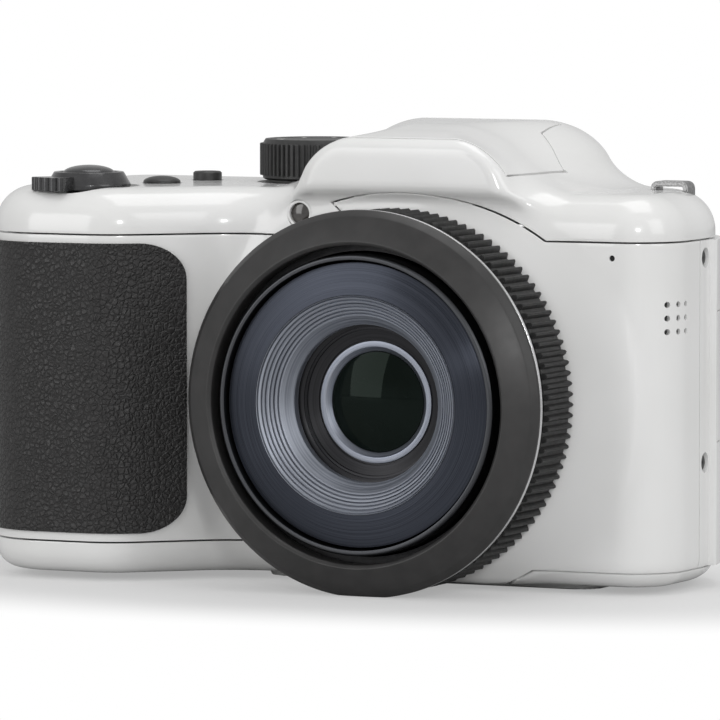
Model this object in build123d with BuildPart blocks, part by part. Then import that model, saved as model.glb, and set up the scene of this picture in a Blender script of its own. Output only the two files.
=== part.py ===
from build123d import *
import os
from math import atan2, cos, radians, sin, sqrt

os.makedirs("parts", exist_ok=True)

# A bridge camera: a moulded body with a deep grip, a long zoom lens and a
# pop-up flash. Millimetres. The origin is the mouth of the tripod socket on
# the base, under the lens axis. +Z is up and the lens looks along -Y.

# Casing
lens_height = 31.0
deck_height = 64.5
belly_height = 1.2
seam_height = 57.0
foot_seam_height = 6.5
body_foot_seam_height = 3.6
foot_step_x = -18.0
side_seam_y = -7.0
side_band = 5.0
rear_step = 1.0
seam_gap = 0.3
wall = 1.8
left_side = -73.0
right_side = 45.5
front_face = -21.5
back_face = 20.0
grip_front = -36.5
grip_nose_x = -47.0
grip_root_x = -31.0
grip_round = 13.0
nose_round = 12.0
valley_round = 14.0
front_corner_round = 9.0
rear_right_round = 26.0
rear_left_round = 10.0
top_round = 6.5
belly_round = 4.0
overrun = 30.0

# Flash housing on top of the body
brow_front = -24.8
brow_lip_height = 64.3
brow_half = 18.8
brow_top_half = 16.3
brow_top = 73.0
brow_corner = 8.6
hump_foot = 60.0
rise_y = -10.0
rise_half = 27.5
rise_top_half = 10.0
rise_top = 75.0
rise_corner = 20.0
crest_y = 8.0
crest_half = 27.0
crest_top_half = 17.5
crest_top = 75.1
crest_corner = 15.0
hump_end = 18.0
end_half = 24.0
end_top_half = 16.5
end_top = 73.4
end_corner = 9.0
hump_half = max(rise_half, crest_half, end_half)
hump_top = max(rise_top, crest_top, end_top)
brow_wall = 1.5

# Lens
bezel_face = -42.0
bezel_radius = 31.3
bezel_face_radius = 30.3
bezel_dish = 2.2
bezel_bore_radius = 25.7
bezel_back = -38.1
ring_tip_radius = 31.0
ring_tooth = 0.85
ring_teeth = 112
ring_front = -34.1
ring_back = -24.5
chassis_radius = 28.2
chassis_wall = 0.9
chassis_back = -8.0
barrel_radius = 24.3
barrel_wall = 0.9
inner_barrel_radius = 23.0
inner_barrel_wall = 1.2
slide_gap = 0.3
press_gap = 0.05
fairing_half_width = 39.5
fairing_half_height = 33.2
fairing_nose_radius = 29.9
zoom_travel = 20.0

# Cells
cell_radius = 7.25
cell_length = 49.5
cell_pitch = 14.8
cell_x = -62.5
cell_y = -18.5

# Tripod thread, a quarter inch by twenty turns to the inch
socket_bore_radius = 2.55
socket_radius = 4.6
socket_depth = 5.5

lens_axis = Axis((0, 0, lens_height), (0, 1, 0))
lens_side = Plane(origin=(0, 0, lens_height), x_dir=(0, 1, 0), z_dir=(1, 0, 0))


def lens_plane(y):
    return Plane(origin=(0, y, lens_height), x_dir=(1, 0, 0), z_dir=(0, -1, 0))


def turn(points, mode=Mode.ADD):
    # Spin a closed profile of (place along the lens, radius) about the lens axis.
    with BuildSketch(lens_side) as profile:
        with BuildLine():
            Polyline(*points, close=True)
        make_face()
    revolve(profile.sketch, axis=lens_axis, mode=mode)


def block(low, high, mode=Mode.ADD):
    # A box between two corners.
    with Locations(low):
        Box(*(b - a for a, b in zip(low, high)), align=Align.MIN, mode=mode)


def rod(plane, radius, length, mode=Mode.ADD):
    # A round bar that starts on a plane and runs along its normal.
    with BuildSketch(plane) as face:
        Circle(radius)
    extrude(face.sketch, amount=length, mode=mode)


def upright(x, y, z):
    return Plane(origin=(x, y, z))


def finish(piece, name):
    piece.part.label = name
    export_step(piece.part, "parts/" + name + ".step")


# Casing solids: the outer form and the hollow inside it
plan_corners = [
    ((left_side, back_face), rear_left_round),
    ((left_side, grip_front), grip_round),
    ((grip_nose_x, grip_front), nose_round),
    ((grip_root_x, front_face), valley_round),
    ((right_side, front_face), front_corner_round),
    ((right_side, back_face), rear_right_round),
]


def casing_plan(plane, inset):
    with BuildSketch(plane) as plan:
        with BuildLine():
            Polyline(*(point for point, radius in plan_corners), close=True)
        make_face()
        for point, radius in plan_corners:
            fillet(plan.vertices().sort_by_distance(point)[0], radius)
        offset(amount=-inset, kind=Kind.INTERSECTION)
    return plan.sketch


def casing(inset):
    with BuildPart() as form:
        plan = casing_plan(Plane.XY.offset(belly_height + max(inset, 0)), inset)
        extrude(plan, amount=deck_height - belly_height - 2 * max(inset, 0))
        fillet(form.edges().group_by(Axis.Z)[-1], top_round - inset)
        fillet(form.edges().group_by(Axis.Z)[0], belly_round - inset)
    return form.part


def hump_section(y, half, top_half, foot, top, corner, inset):
    with BuildSketch(Plane.XZ.offset(-y)) as section:
        with BuildLine():
            Polyline((-half, foot), (half, foot), (top_half, top), (-top_half, top), close=True)
        make_face()
        fillet(section.vertices().group_by(Axis.Y)[-1], corner)
        if inset:
            offset(amount=-inset, kind=Kind.INTERSECTION)
    return section.sketch


def hump(inset):
    # Four sections from the brow over the lens to the low end at the back.
    front = brow_front + inset
    end = hump_end - inset
    brow = (front, brow_half, brow_top_half, brow_lip_height, brow_top, brow_corner)
    rise = (rise_y, rise_half, rise_top_half, hump_foot, rise_top, rise_corner)
    crest = (crest_y, crest_half, crest_top_half, hump_foot, crest_top, crest_corner)
    fall = (end, end_half, end_top_half, hump_foot, end_top, end_corner)
    with BuildPart() as form:
        loft([hump_section(*values, inset) for values in (brow, rise, crest, fall)])
    return form.part


outer_form = casing(0)
rear_form = casing(-rear_step)
inner_form = casing(wall)
hump_form = hump(0)
hump_hollow = hump(wall)

# The oval where the lens fairing meets the body front
fairing_root = front_face + top_round


def fairing_oval(y, grow):
    with BuildSketch(lens_plane(y)) as oval:
        Ellipse(fairing_half_width + grow, fairing_half_height + grow)
    return oval.sketch


with BuildPart() as fairing:
    extrude(fairing_oval(fairing_root, 0), amount=fairing_root - front_face)
    with BuildSketch(lens_plane(ring_back)) as fairing_nose:
        Ellipse(fairing_nose_radius, fairing_nose_radius)
    loft([fairing_oval(front_face, 0), fairing_nose.sketch])
    block((left_side, ring_back - overrun, -overrun), (right_side, fairing_root + overrun, belly_height),
          mode=Mode.SUBTRACT)

# The pocket behind the fairing, round the sleeve that holds the lens chassis
with BuildPart() as fairing_pocket:
    extrude(fairing_oval(fairing_root + wall, -wall), amount=fairing_root - front_face)
    rod(lens_plane(fairing_root + wall), chassis_radius + wall, overrun, mode=Mode.SUBTRACT)
    block((left_side, ring_back - overrun, -overrun), (right_side, fairing_root + overrun, belly_height + wall),
          mode=Mode.SUBTRACT)

# Flash lid seams, shared by the lid and the top cover
lid_hinge_y = 6.0
lid_hinge_radius = 2.6
hump_crest = hump_form.bounding_box().max.Z
lid_hinge_height = hump_crest - lid_hinge_radius
lid_pin_radius = 0.8
lid_foot_height = 67.6
lid_cheek_back = -11.0
lid_tongue_half = 14.0
lid_tongue_foot = 70.0
lid_reach = lid_hinge_y - brow_front - brow_wall
lid_floor = 1.2


def lid_space(grow):
    # The part of the flash housing that lifts, seen as a solid; it swings about the hinge.
    with BuildPart() as space:
        block((-hump_half - wall, brow_front, lid_foot_height - grow),
              (hump_half + wall, lid_cheek_back + grow, hump_top + overrun))
        block((-lid_tongue_half - grow, lid_cheek_back - grow, lid_tongue_foot - grow),
              (lid_tongue_half + grow, lid_hinge_y, hump_top + overrun))
        wide = Plane(origin=(-hump_half - wall, lid_hinge_y, lid_hinge_height), x_dir=(0, 1, 0), z_dir=(1, 0, 0))
        rod(wide, lid_reach - seam_gap + grow, 2 * (hump_half + wall), mode=Mode.INTERSECT)
        ends = Plane(origin=(-lid_tongue_half - grow, lid_hinge_y, lid_hinge_height),
                     x_dir=(0, 1, 0), z_dir=(1, 0, 0))
        rod(ends, lid_hinge_radius + grow, 2 * (lid_tongue_half + grow))
    return space.part


lid_solid = lid_space(0)
lid_opening = lid_space(seam_gap)


def sector(plane, low, high, middle, half):
    # A flat sector between two radii about a plane's origin, angles in degrees.
    first, centre, last = (radians(middle + half * side) for side in (-1, 0, 1))
    with BuildSketch(plane) as face:
        with BuildLine():
            Line((low * cos(first), low * sin(first)), (high * cos(first), high * sin(first)))
            ThreePointArc((high * cos(first), high * sin(first)), (high * cos(centre), high * sin(centre)),
                          (high * cos(last), high * sin(last)))
            Line((high * cos(last), high * sin(last)), (low * cos(last), low * sin(last)))
            ThreePointArc((low * cos(last), low * sin(last)), (low * cos(centre), low * sin(centre)),
                          (low * cos(first), low * sin(first)))
        make_face()
        for angle in (first, last):
            corner = (high * cos(angle), high * sin(angle))
            fillet(face.vertices().sort_by_distance(corner)[0], (high - low) / 4)
    return face.sketch


# Controls on the deck: places and sizes that the top cover is cut for
dial_x, dial_y = -28.5, 3.5
dial_radius = 9.5
dial_top = 71.7
dial_well_gap = 0.5
dial_well_wall = 1.3
dial_shaft_radius = 1.6
running_gap = 0.06
lever_x, lever_y = -56.5, -25.0
lever_radius = 6.9
lever_recess = 0.9
lever_recess_radius = 8.4
lever_collar_radius = 3.8
lever_swing = 20
tab_reach = 10.2
tab_root = 5.2
tab_angle = 250
tab_half_angle = 24
tab_gap = 0.7
tab_well = 1.3
burst_x, burst_y = -49.6, -12.0
burst_radius = 3.1
power_x, power_y = -47.4, 0.5
power_radius = 2.4
button_gap = 0.25
lamp_x, lamp_height = -19.3, 60.5
lamp_radius = 1.7
lamp_rim = 0.6
lamp_boss = 3.2
lamp_front = -21.9
lamp_sink = 0.4
lug_x, lug_y = 36.8, 2.0
lug_span = 6.6
lug_strip = 0.9
lug_width = 4.0
lug_rise = 1.5
lug_root = 3.2
mic_x, mic_height = 36.3, 54.5
mic_radius = 0.5
deck_inner = deck_height - wall

# The floor under the flash and the round well beside the dial
with BuildPart() as tray:
    add(hump_form)
    block((-hump_half, brow_front, lid_foot_height - 2 * lid_floor),
          (hump_half, lid_hinge_y + wall, lid_foot_height - lid_floor), mode=Mode.INTERSECT)

with BuildPart() as well:
    rod(upright(dial_x, dial_y, deck_inner), dial_radius + dial_well_gap + dial_well_wall,
        dial_top - deck_inner)
    add(hump_form, mode=Mode.INTERSECT)

# Top cover: the deck and the flash housing, one moulding
lamp_plane = Plane(origin=(lamp_x, lamp_front, lamp_height), x_dir=(1, 0, 0), z_dir=(0, 1, 0))

with BuildPart() as top_cover:
    add(outer_form)
    add(hump_form)
    add(inner_form, mode=Mode.SUBTRACT)
    add(hump_hollow, mode=Mode.SUBTRACT)
    block((left_side - overrun, grip_front - overrun, -overrun),
          (right_side + overrun, back_face + overrun, seam_height + seam_gap / 2), mode=Mode.SUBTRACT)
    extrude(fairing_oval(fairing_root, seam_gap), amount=overrun, mode=Mode.SUBTRACT)
    add(tray.part)
    add(well.part)
    add(lid_opening, mode=Mode.SUBTRACT)
    rod(lamp_plane.offset(lamp_sink), lamp_boss, top_round - lamp_sink)
    rod(lamp_plane, lamp_radius + lamp_rim, top_round)
    rod(lamp_plane, lamp_radius + press_gap, wall, mode=Mode.SUBTRACT)
    rod(upright(dial_x, dial_y, deck_height), dial_radius + dial_well_gap, overrun, mode=Mode.SUBTRACT)
    rod(upright(dial_x, dial_y, deck_inner - wall), dial_shaft_radius + running_gap, overrun,
        mode=Mode.SUBTRACT)
    rod(upright(lever_x, lever_y, deck_height - lever_recess), lever_recess_radius, overrun,
        mode=Mode.SUBTRACT)
    rod(upright(lever_x, lever_y, deck_inner - wall), lever_collar_radius + running_gap, overrun,
        mode=Mode.SUBTRACT)
    extrude(sector(upright(lever_x, lever_y, deck_height - tab_well), tab_root, tab_reach + tab_gap,
                   tab_angle, tab_half_angle + lever_swing + 2 * tab_gap), amount=overrun,
            mode=Mode.SUBTRACT)
    for x, y, radius in ((burst_x, burst_y, burst_radius), (power_x, power_y, power_radius)):
        rod(upright(x, y, deck_inner - wall), radius + button_gap, overrun, mode=Mode.SUBTRACT)
    for x in (lug_x - lug_span / 2, lug_x + lug_span / 2 - lug_strip):
        block((x - press_gap, lug_y - lug_width / 2 - press_gap, deck_height - lug_root - press_gap),
              (x + lug_strip + press_gap, lug_y + lug_width / 2 + press_gap, deck_height + overrun),
              mode=Mode.SUBTRACT)
    rod(Plane(origin=(-hump_half, lid_hinge_y, lid_hinge_height), x_dir=(0, 1, 0), z_dir=(1, 0, 0)),
        lid_pin_radius + press_gap, 2 * hump_half, mode=Mode.SUBTRACT)
finish(top_cover, "top_cover")


# Front shell: the grip's front, the right front and the lens fairing
half_gap = seam_gap / 2
far_x, far_y, far_z = left_side - overrun, grip_front - overrun, -overrun
away_x, away_y, away_z = right_side + overrun, back_face + overrun, hump_top + overrun
screw_y = -4.6
screw_heights = (20.7, 54.0)
screw_head_radius = 1.5
screw_head_length = 1.0
screw_shank_radius = 0.9
screw_length = 5.0
screw_well_radius = 1.65
screw_well_depth = 0.5
foot_screw_sink = 0.2
speaker_ys = (-17.2, -15.0, -12.8)
speaker_heights = (42.6, 44.8, 47.0)
speaker_hole_radius = 0.5


def shell_slice(form, low_y, high_y):
    # The wall of one form between two places along Y, between the top and foot seams.
    with BuildPart() as piece:
        add(form)
        block((far_x, low_y, far_z), (away_x, high_y, seam_height - half_gap), mode=Mode.INTERSECT)
        block((far_x, far_y, far_z), (foot_step_x, away_y, foot_seam_height + half_gap), mode=Mode.SUBTRACT)
        block((foot_step_x, far_y, far_z), (away_x, away_y, body_foot_seam_height + half_gap),
              mode=Mode.SUBTRACT)
        add(inner_form, mode=Mode.SUBTRACT)
    return piece.part


front_slice = shell_slice(outer_form, far_y, side_seam_y - half_gap)

with BuildPart() as front_shell:
    add(front_slice)
    add(fairing.part)
    add(fairing_pocket.part, mode=Mode.SUBTRACT)
    rod(lens_plane(fairing_root + wall), chassis_radius + running_gap, overrun, mode=Mode.SUBTRACT)
    for y in speaker_ys:
        for height in speaker_heights:
            rod(Plane(origin=(right_side - 2 * front_corner_round, y, height), x_dir=(0, 1, 0), z_dir=(1, 0, 0)),
                speaker_hole_radius, overrun, mode=Mode.SUBTRACT)
    rod(Plane(origin=(lamp_x, ring_back, lamp_height), x_dir=(1, 0, 0), z_dir=(0, 1, 0)),
        lamp_boss + seam_gap, fairing_root + wall - ring_back, mode=Mode.SUBTRACT)
    rod(Plane(origin=(mic_x, front_face + 2 * wall, mic_height), x_dir=(1, 0, 0), z_dir=(0, -1, 0)),
        mic_radius, overrun, mode=Mode.SUBTRACT)
finish(front_shell, "front_shell")

# Grip cover: the leather-grained rubber skin round the front of the grip
skin = 0.5
skin_top = seam_height - 1.4
skin_foot = foot_seam_height + 1.5
skin_edge_x = -37.0
skin_rear_y = side_seam_y - 1.5
skin_corner = 6.0

with BuildPart() as grip_patch:
    with BuildSketch(Plane.XZ.offset(-grip_front - overrun)) as patch:
        with BuildLine():
            Polyline((far_x, skin_foot), (skin_edge_x, skin_foot), (skin_edge_x, skin_top),
                     (far_x, skin_top), close=True)
        make_face()
        fillet(patch.vertices().group_by(Axis.X)[-1], skin_corner)
    extrude(patch.sketch, amount=2 * overrun)
    block((far_x, far_y, far_z), (away_x, skin_rear_y, away_z), mode=Mode.INTERSECT)

skin_form = casing(-skin)

with BuildPart() as grip_cover:
    add(skin_form)
    add(outer_form, mode=Mode.SUBTRACT)
    add(grip_patch.part, mode=Mode.INTERSECT)
finish(grip_cover, "grip_cover")

# Rear shell: the back, the raised housing of the screen and the proud rear edge
back_surface = back_face + rear_step
screen_left, screen_right = -40.0, 25.0
screen_foot, screen_head = 8.0, 54.6
screen_root = 8.0
screen_stand = 2.8
screen_face = back_surface + screen_stand
screen_round = 3.0
glass_rim = 2.0
glass_thickness = 1.2
glass_sink = 0.2
glass_ledge = 1.6
panel_thickness = 2.6
fit_gap = 0.15
glass_back = screen_face - glass_sink - glass_thickness
panel_face = glass_back - glass_ledge
key_radius = 2.4
key_stand = 0.7
key_flange = 0.6
key_flange_thickness = 0.8
key_gap = 0.4
pad_x, pad_height = -51.2, 27.8
pad_radius = 7.4
pad_stand = 0.8
keys = {
    "menu_button": (-56.5, 43.0),
    "playback_button": (-46.0, 43.0),
    "display_button": (-56.5, 12.5),
    "delete_button": (-46.0, 12.5),
    "record_button": (-46.5, 51.5),
}


def back_plane(x, y, z):
    return Plane(origin=(x, y, z), x_dir=(-1, 0, 0), z_dir=(0, 1, 0))


# The port flap is part of the rear shell's side, hung at its front edge
flap_front = 1.0
flap_low, flap_high = 24.0, 45.0
flap_reach = 13.5
flap_pin_depth = 1.3
flap_pin_radius = 0.5
flap_swing_gap = 0.5
side_centre_x = right_side - rear_right_round
side_centre_y = back_face - rear_right_round
side_radius = rear_right_round + rear_step
flap_pin_x = side_centre_x + sqrt(side_radius**2 - (flap_front - side_centre_y) ** 2) - flap_pin_depth


def flap_space(grow, swing):
    with BuildPart() as space:
        rod(upright(flap_pin_x, flap_front, flap_low - grow), flap_reach + grow,
            flap_high - flap_low + 2 * grow)
        block((side_centre_x, flap_front, flap_low - grow), (away_x, away_y, flap_high + grow),
              mode=Mode.INTERSECT)
        rod(upright(flap_pin_x, flap_front, flap_low - grow), flap_pin_depth + swing,
            flap_high - flap_low + 2 * grow)
    return space.part


lug_low, lug_reach = 47.0, 2.0

with BuildPart() as screen_housing:
    block((screen_left, screen_root, screen_foot), (screen_right, screen_face, screen_head))
    fillet(screen_housing.edges().filter_by(Axis.Y), screen_round)

rear_slice = shell_slice(rear_form, side_seam_y + side_band, away_y)
band_slice = shell_slice(outer_form, side_seam_y + half_gap, side_seam_y + side_band)
flap_solid = flap_space(0, 0)
flap_opening = flap_space(seam_gap, flap_swing_gap)

with BuildPart() as rear_shell:
    add(rear_slice)
    add(band_slice)
    add(screen_housing.part)
    block((screen_left + wall, far_y, screen_foot + wall),
          (screen_right - wall, panel_face, screen_head - wall), mode=Mode.SUBTRACT)
    block((screen_left + glass_rim, glass_back - fit_gap, screen_foot + glass_rim),
          (screen_right - glass_rim, away_y, screen_head - glass_rim), mode=Mode.SUBTRACT)
    block((screen_left + glass_rim + glass_ledge, far_y, screen_foot + glass_rim + glass_ledge),
          (screen_right - glass_rim - glass_ledge, away_y, screen_head - glass_rim - glass_ledge),
          mode=Mode.SUBTRACT)
    for x, height in keys.values():
        rod(back_plane(x, back_face - 2 * wall, height), key_radius + button_gap, overrun, mode=Mode.SUBTRACT)
    rod(back_plane(pad_x, back_face - 2 * wall, pad_height), pad_radius + button_gap, overrun,
        mode=Mode.SUBTRACT)
    for height in screw_heights:
        rod(Plane(origin=(right_side - 2 * wall, screw_y, height), x_dir=(0, 1, 0), z_dir=(1, 0, 0)),
            screw_shank_radius + button_gap, overrun, mode=Mode.SUBTRACT)
        rod(Plane(origin=(right_side - screw_head_length - screw_well_depth, screw_y, height),
                  x_dir=(0, 1, 0), z_dir=(1, 0, 0)), screw_well_radius, overrun, mode=Mode.SUBTRACT)
    add(flap_opening, mode=Mode.SUBTRACT)
    rod(upright(flap_pin_x, flap_front, flap_low - wall), flap_pin_radius + press_gap,
        flap_high - flap_low + 2 * wall, mode=Mode.SUBTRACT)
    for height in (lug_low, lug_low + lug_span - lug_strip):
        block((left_side - overrun, lug_y - lug_width / 2 - press_gap, height - press_gap),
              (left_side + overrun / 2, lug_y + lug_width / 2 + press_gap, height + lug_strip + press_gap),
              mode=Mode.SUBTRACT)
finish(rear_shell, "rear_shell")

# Battery door and its hinge, shared with the bottom cover
floor_top = belly_height + wall
door_left, door_right = -68.8, -37.5
door_front = -25.5
door_corner_x, door_corner_y = -43.5, -19.5
door_hinge_y = 9.9
door_barrel_radius = wall / 2
door_hinge_height = belly_height + door_barrel_radius
door_pin_radius = 0.45
door_swing_gap = 0.4
door_left_round = 4.0
latch_left, latch_right = -60.8, -53.0
latch_front, latch_back = -22.4, -18.6
latch_travel = 3.5
latch_sink = 0.15
latch_thickness = 0.75
latch_grooves = 4


def door_space(grow, swing):
    with BuildPart() as space:
        with BuildSketch(Plane.XY) as outline:
            with BuildLine():
                Polyline((door_left - grow, door_front - grow), (door_corner_x + grow / 2, door_front - grow),
                         (door_right + grow, door_corner_y - grow / 2), (door_right + grow, door_hinge_y),
                         (door_left - grow, door_hinge_y), close=True)
            make_face()
            fillet(outline.vertices().sort_by_distance((door_left, door_front))[0], door_left_round)
        extrude(outline.sketch, amount=floor_top)
        rod(Plane(origin=(door_left - grow, door_hinge_y, door_hinge_height), x_dir=(0, 1, 0), z_dir=(1, 0, 0)),
            door_barrel_radius + swing, door_right - door_left + 2 * grow)
        block((far_x, far_y, belly_height - grow), (away_x, away_y, floor_top + grow), mode=Mode.INTERSECT)
    return space.part


# Bottom cover: the floor, a raised pad to stand on and the boss of the tripod socket
pad_low_x, pad_high_x = -30.0, 30.0
pad_low_y, pad_high_y = -14.0, 14.0
pad_corner = 4.0
boss_wall = 1.6
boss_height = 6.8
foot_screws = ((-33.5, -12.0), (-33.5, 12.0), (34.5, -12.0), (34.5, 2.0))
foot_screw_seat = belly_height + foot_screw_sink + screw_head_length

door_solid = door_space(0, 0)
door_opening = door_space(seam_gap, door_swing_gap)

with BuildPart() as bottom_cover:
    add(outer_form)
    add(inner_form, mode=Mode.SUBTRACT)
    block((far_x, far_y, foot_seam_height - half_gap), (away_x, away_y, away_z), mode=Mode.SUBTRACT)
    block((foot_step_x, far_y, body_foot_seam_height - half_gap), (away_x, away_y, away_z),
          mode=Mode.SUBTRACT)
    extrude(fairing_oval(fairing_root + seam_gap, seam_gap), amount=overrun, mode=Mode.SUBTRACT)
    with BuildSketch(Plane.XY) as stand:
        with BuildLine():
            Polyline((pad_low_x, pad_low_y), (pad_high_x, pad_low_y), (pad_high_x, pad_high_y),
                     (pad_low_x, pad_high_y), close=True)
        make_face()
        fillet(stand.vertices(), pad_corner)
    extrude(stand.sketch, amount=floor_top)
    rod(Plane.XY, socket_radius + boss_wall, boss_height)
    rod(Plane.XY, socket_radius + press_gap, overrun, mode=Mode.SUBTRACT)
    add(door_opening, mode=Mode.SUBTRACT)
    rod(Plane(origin=(door_left - 2 * wall, door_hinge_y, door_hinge_height), x_dir=(0, 1, 0), z_dir=(1, 0, 0)),
        door_pin_radius + press_gap, door_right - door_left + 4 * wall, mode=Mode.SUBTRACT)
    for x, y in foot_screws:
        rod(upright(x, y, 0), screw_shank_radius + running_gap, overrun, mode=Mode.SUBTRACT)
        rod(upright(x, y, 0), screw_well_radius, foot_screw_seat, mode=Mode.SUBTRACT)
finish(bottom_cover, "bottom_cover")

# Case screws, each a pan head on a plain shank
side_seats = [Plane(origin=(right_side - screw_head_length - screw_well_depth, screw_y, height),
                    x_dir=(0, 1, 0), z_dir=(1, 0, 0)) for height in screw_heights]
foot_seats = [Plane(origin=(x, y, foot_screw_seat), x_dir=(1, 0, 0), z_dir=(0, 0, -1)) for x, y in foot_screws]
with BuildPart() as case_screws:
    for seat in side_seats + foot_seats:
        rod(seat, screw_head_radius, screw_head_length)
        rod(seat, screw_shank_radius, -screw_length)
finish(case_screws, "case_screws")

with BuildPart() as tripod_socket:
    rod(Plane.XY, socket_radius, boss_height)
    rod(Plane.XY, socket_bore_radius, socket_depth, mode=Mode.SUBTRACT)
finish(tripod_socket, "tripod_socket")

# Battery door: plate with a hinge barrel, a sliding latch and the cell contacts
with BuildPart() as battery_door:
    add(door_solid)
    rod(Plane(origin=(far_x, door_hinge_y, door_hinge_height), x_dir=(0, 1, 0), z_dir=(1, 0, 0)),
        door_pin_radius + press_gap, 4 * overrun, mode=Mode.SUBTRACT)
    block((latch_left - fit_gap, latch_front - fit_gap, 0),
          (latch_right + latch_travel + fit_gap, latch_back + fit_gap,
           belly_height + latch_sink + latch_thickness + fit_gap), mode=Mode.SUBTRACT)
finish(battery_door, "battery_door")

with BuildPart() as door_latch:
    block((latch_left, latch_front, belly_height + latch_sink),
          (latch_right, latch_back, belly_height + latch_sink + latch_thickness))
    rib = (latch_right - latch_left) / (2 * latch_grooves + 1)
    for step in range(latch_grooves):
        start = latch_left + rib * (1 + 2 * step)
        block((start, latch_front + rib, 0),
              (start + rib, latch_back - rib, belly_height + latch_sink + latch_thickness / 2),
              mode=Mode.SUBTRACT)
finish(door_latch, "door_latch")

with BuildPart() as door_pin:
    rod(Plane(origin=(door_left - 2 * wall, door_hinge_y, door_hinge_height), x_dir=(0, 1, 0), z_dir=(1, 0, 0)),
        door_pin_radius, door_right - door_left + 4 * wall)
finish(door_pin, "door_hinge_pin")


# Cells, stood two by two in the grip, with the holder round them
cells = [(cell_x + i * cell_pitch, cell_y + j * cell_pitch) for i in (0, 1) for j in (0, 1)]
cell_foot = floor_top + 4 * fit_gap
nub_radius = 2.7
nub_height = 1.0
holder_gap = 0.25
holder_wall = 0.6
holder_corner = 6.5
holder_cap = 1.5
holder_left = cell_x - cell_radius - holder_gap - holder_wall
holder_right = cell_x + cell_pitch + cell_radius + holder_gap + holder_wall
holder_front = cell_y - cell_radius - holder_gap - holder_wall
holder_back = cell_y + cell_pitch + cell_radius + holder_gap + holder_wall
holder_foot = floor_top + 2 * holder_wall
holder_top = cell_foot + cell_length + nub_height + holder_cap

with BuildPart() as battery_cells:
    for x, y in cells:
        rod(upright(x, y, cell_foot), cell_radius, cell_length)
        rod(upright(x, y, cell_foot + cell_length), nub_radius, nub_height)
finish(battery_cells, "battery_cells")

with BuildPart() as battery_holder:
    block((holder_left, holder_front, holder_foot), (holder_right, holder_back, holder_top))
    fillet(battery_holder.edges().filter_by(Axis.Z), holder_corner)
    for x, y in cells:
        rod(upright(x, y, 0), cell_radius + holder_gap, cell_foot + cell_length + nub_height,
            mode=Mode.SUBTRACT)
finish(battery_holder, "battery_holder")

contact_thickness = 0.3
with BuildPart() as battery_contacts:
    for x in (cell_x, cell_x + cell_pitch):
        block((x - nub_radius, cell_y - nub_radius, floor_top),
              (x + nub_radius, cell_y + cell_pitch + nub_radius, floor_top + contact_thickness))
finish(battery_contacts, "battery_contacts")

# Memory card in its slot behind the cells, both behind the door
card_thickness = 2.1
card_width = 24.0
card_height = 32.0
slot_wall = 0.5
slot_height = 26.0
card_x = -66.0
slot_y = holder_back + button_gap
card_y = slot_y + slot_wall + fit_gap

with BuildPart() as card_slot:
    block((card_x - slot_wall - fit_gap, slot_y, holder_foot),
          (card_x + card_width + slot_wall + fit_gap, slot_y + card_thickness + 2 * (slot_wall + fit_gap),
           holder_foot + slot_height))
    block((card_x - fit_gap, slot_y + slot_wall, 0),
          (card_x + card_width + fit_gap, slot_y + slot_wall + card_thickness + 2 * fit_gap, away_z),
          mode=Mode.SUBTRACT)
finish(card_slot, "card_slot")

with BuildPart() as memory_card:
    block((card_x, card_y, cell_foot), (card_x + card_width, card_y + card_thickness, cell_foot + card_height))
    chamfer(memory_card.edges().filter_by(Axis.Y).group_by(Axis.Z)[-1].sort_by(Axis.X)[-1], card_thickness)
finish(memory_card, "memory_card")

# Lens chassis: the fixed tube that carries every ring, closed by a plate at the back
ledge_back = -36.0
groove_back = -34.5
groove_radius = 29.0
ledge_radius = 29.8
trim_front, trim_back = -38.0, -37.3
chassis_plate = 1.6
chassis_window = 10.0
body_chassis_radius = 27.9
chassis_inner = chassis_radius - chassis_wall
chassis_front = bezel_back + running_gap

with BuildPart() as lens_chassis:
    turn([(chassis_front, chassis_inner), (chassis_front, chassis_radius), (trim_back, chassis_radius),
          (trim_back, ledge_radius), (ledge_back, ledge_radius), (ledge_back, groove_radius),
          (groove_back, groove_radius), (groove_back, chassis_radius), (fairing_root, chassis_radius),
          (fairing_root, body_chassis_radius), (chassis_back + chassis_plate, body_chassis_radius),
          (chassis_back + chassis_plate, chassis_window), (chassis_back, chassis_window),
          (chassis_back, chassis_inner)])
finish(lens_chassis, "lens_chassis")

# Front ring, a thin bright ring behind it and the knurled rubber ring
bezel_bevel = 0.6
with BuildPart() as lens_bezel:
    turn([(bezel_face, bezel_bore_radius + bezel_bevel), (bezel_face + bezel_dish, bezel_face_radius),
          (bezel_face + bezel_dish + 2 * bezel_bevel, bezel_radius), (bezel_back, bezel_radius),
          (bezel_back, bezel_bore_radius), (bezel_face + bezel_bevel, bezel_bore_radius)])
finish(lens_bezel, "lens_bezel")

with BuildPart() as trim_ring:
    turn([(trim_front, chassis_radius + running_gap), (trim_front, bezel_radius),
          (trim_back, bezel_radius), (trim_back, chassis_radius + running_gap)])
finish(trim_ring, "trim_ring")


tooth_shape_shares = ((0.0, 0), (0.3, 1), (0.5, 1), (0.8, 0))


def toothed_face(plane, tip_radius, depth, teeth):
    # A ring of straight-sided teeth as one closed outline.
    tooth = 360 / teeth
    points = []
    for index in range(teeth):
        for turn_share, rise in tooth_shape_shares:
            angle = radians((index + turn_share) * tooth)
            radius = tip_radius - depth * (1 - rise)
            points.append((radius * cos(angle), radius * sin(angle)))
    with BuildSketch(plane) as face:
        with BuildLine():
            Polyline(*points, close=True)
        make_face()
    return face.sketch


with BuildPart() as knurled_ring:
    extrude(toothed_face(lens_plane(ring_back), ring_tip_radius, ring_tooth, ring_teeth),
            amount=ring_back - ring_front)
    rod(lens_plane(ring_back), chassis_radius + running_gap, overrun, mode=Mode.SUBTRACT)
finish(knurled_ring, "knurled_ring")

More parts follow.
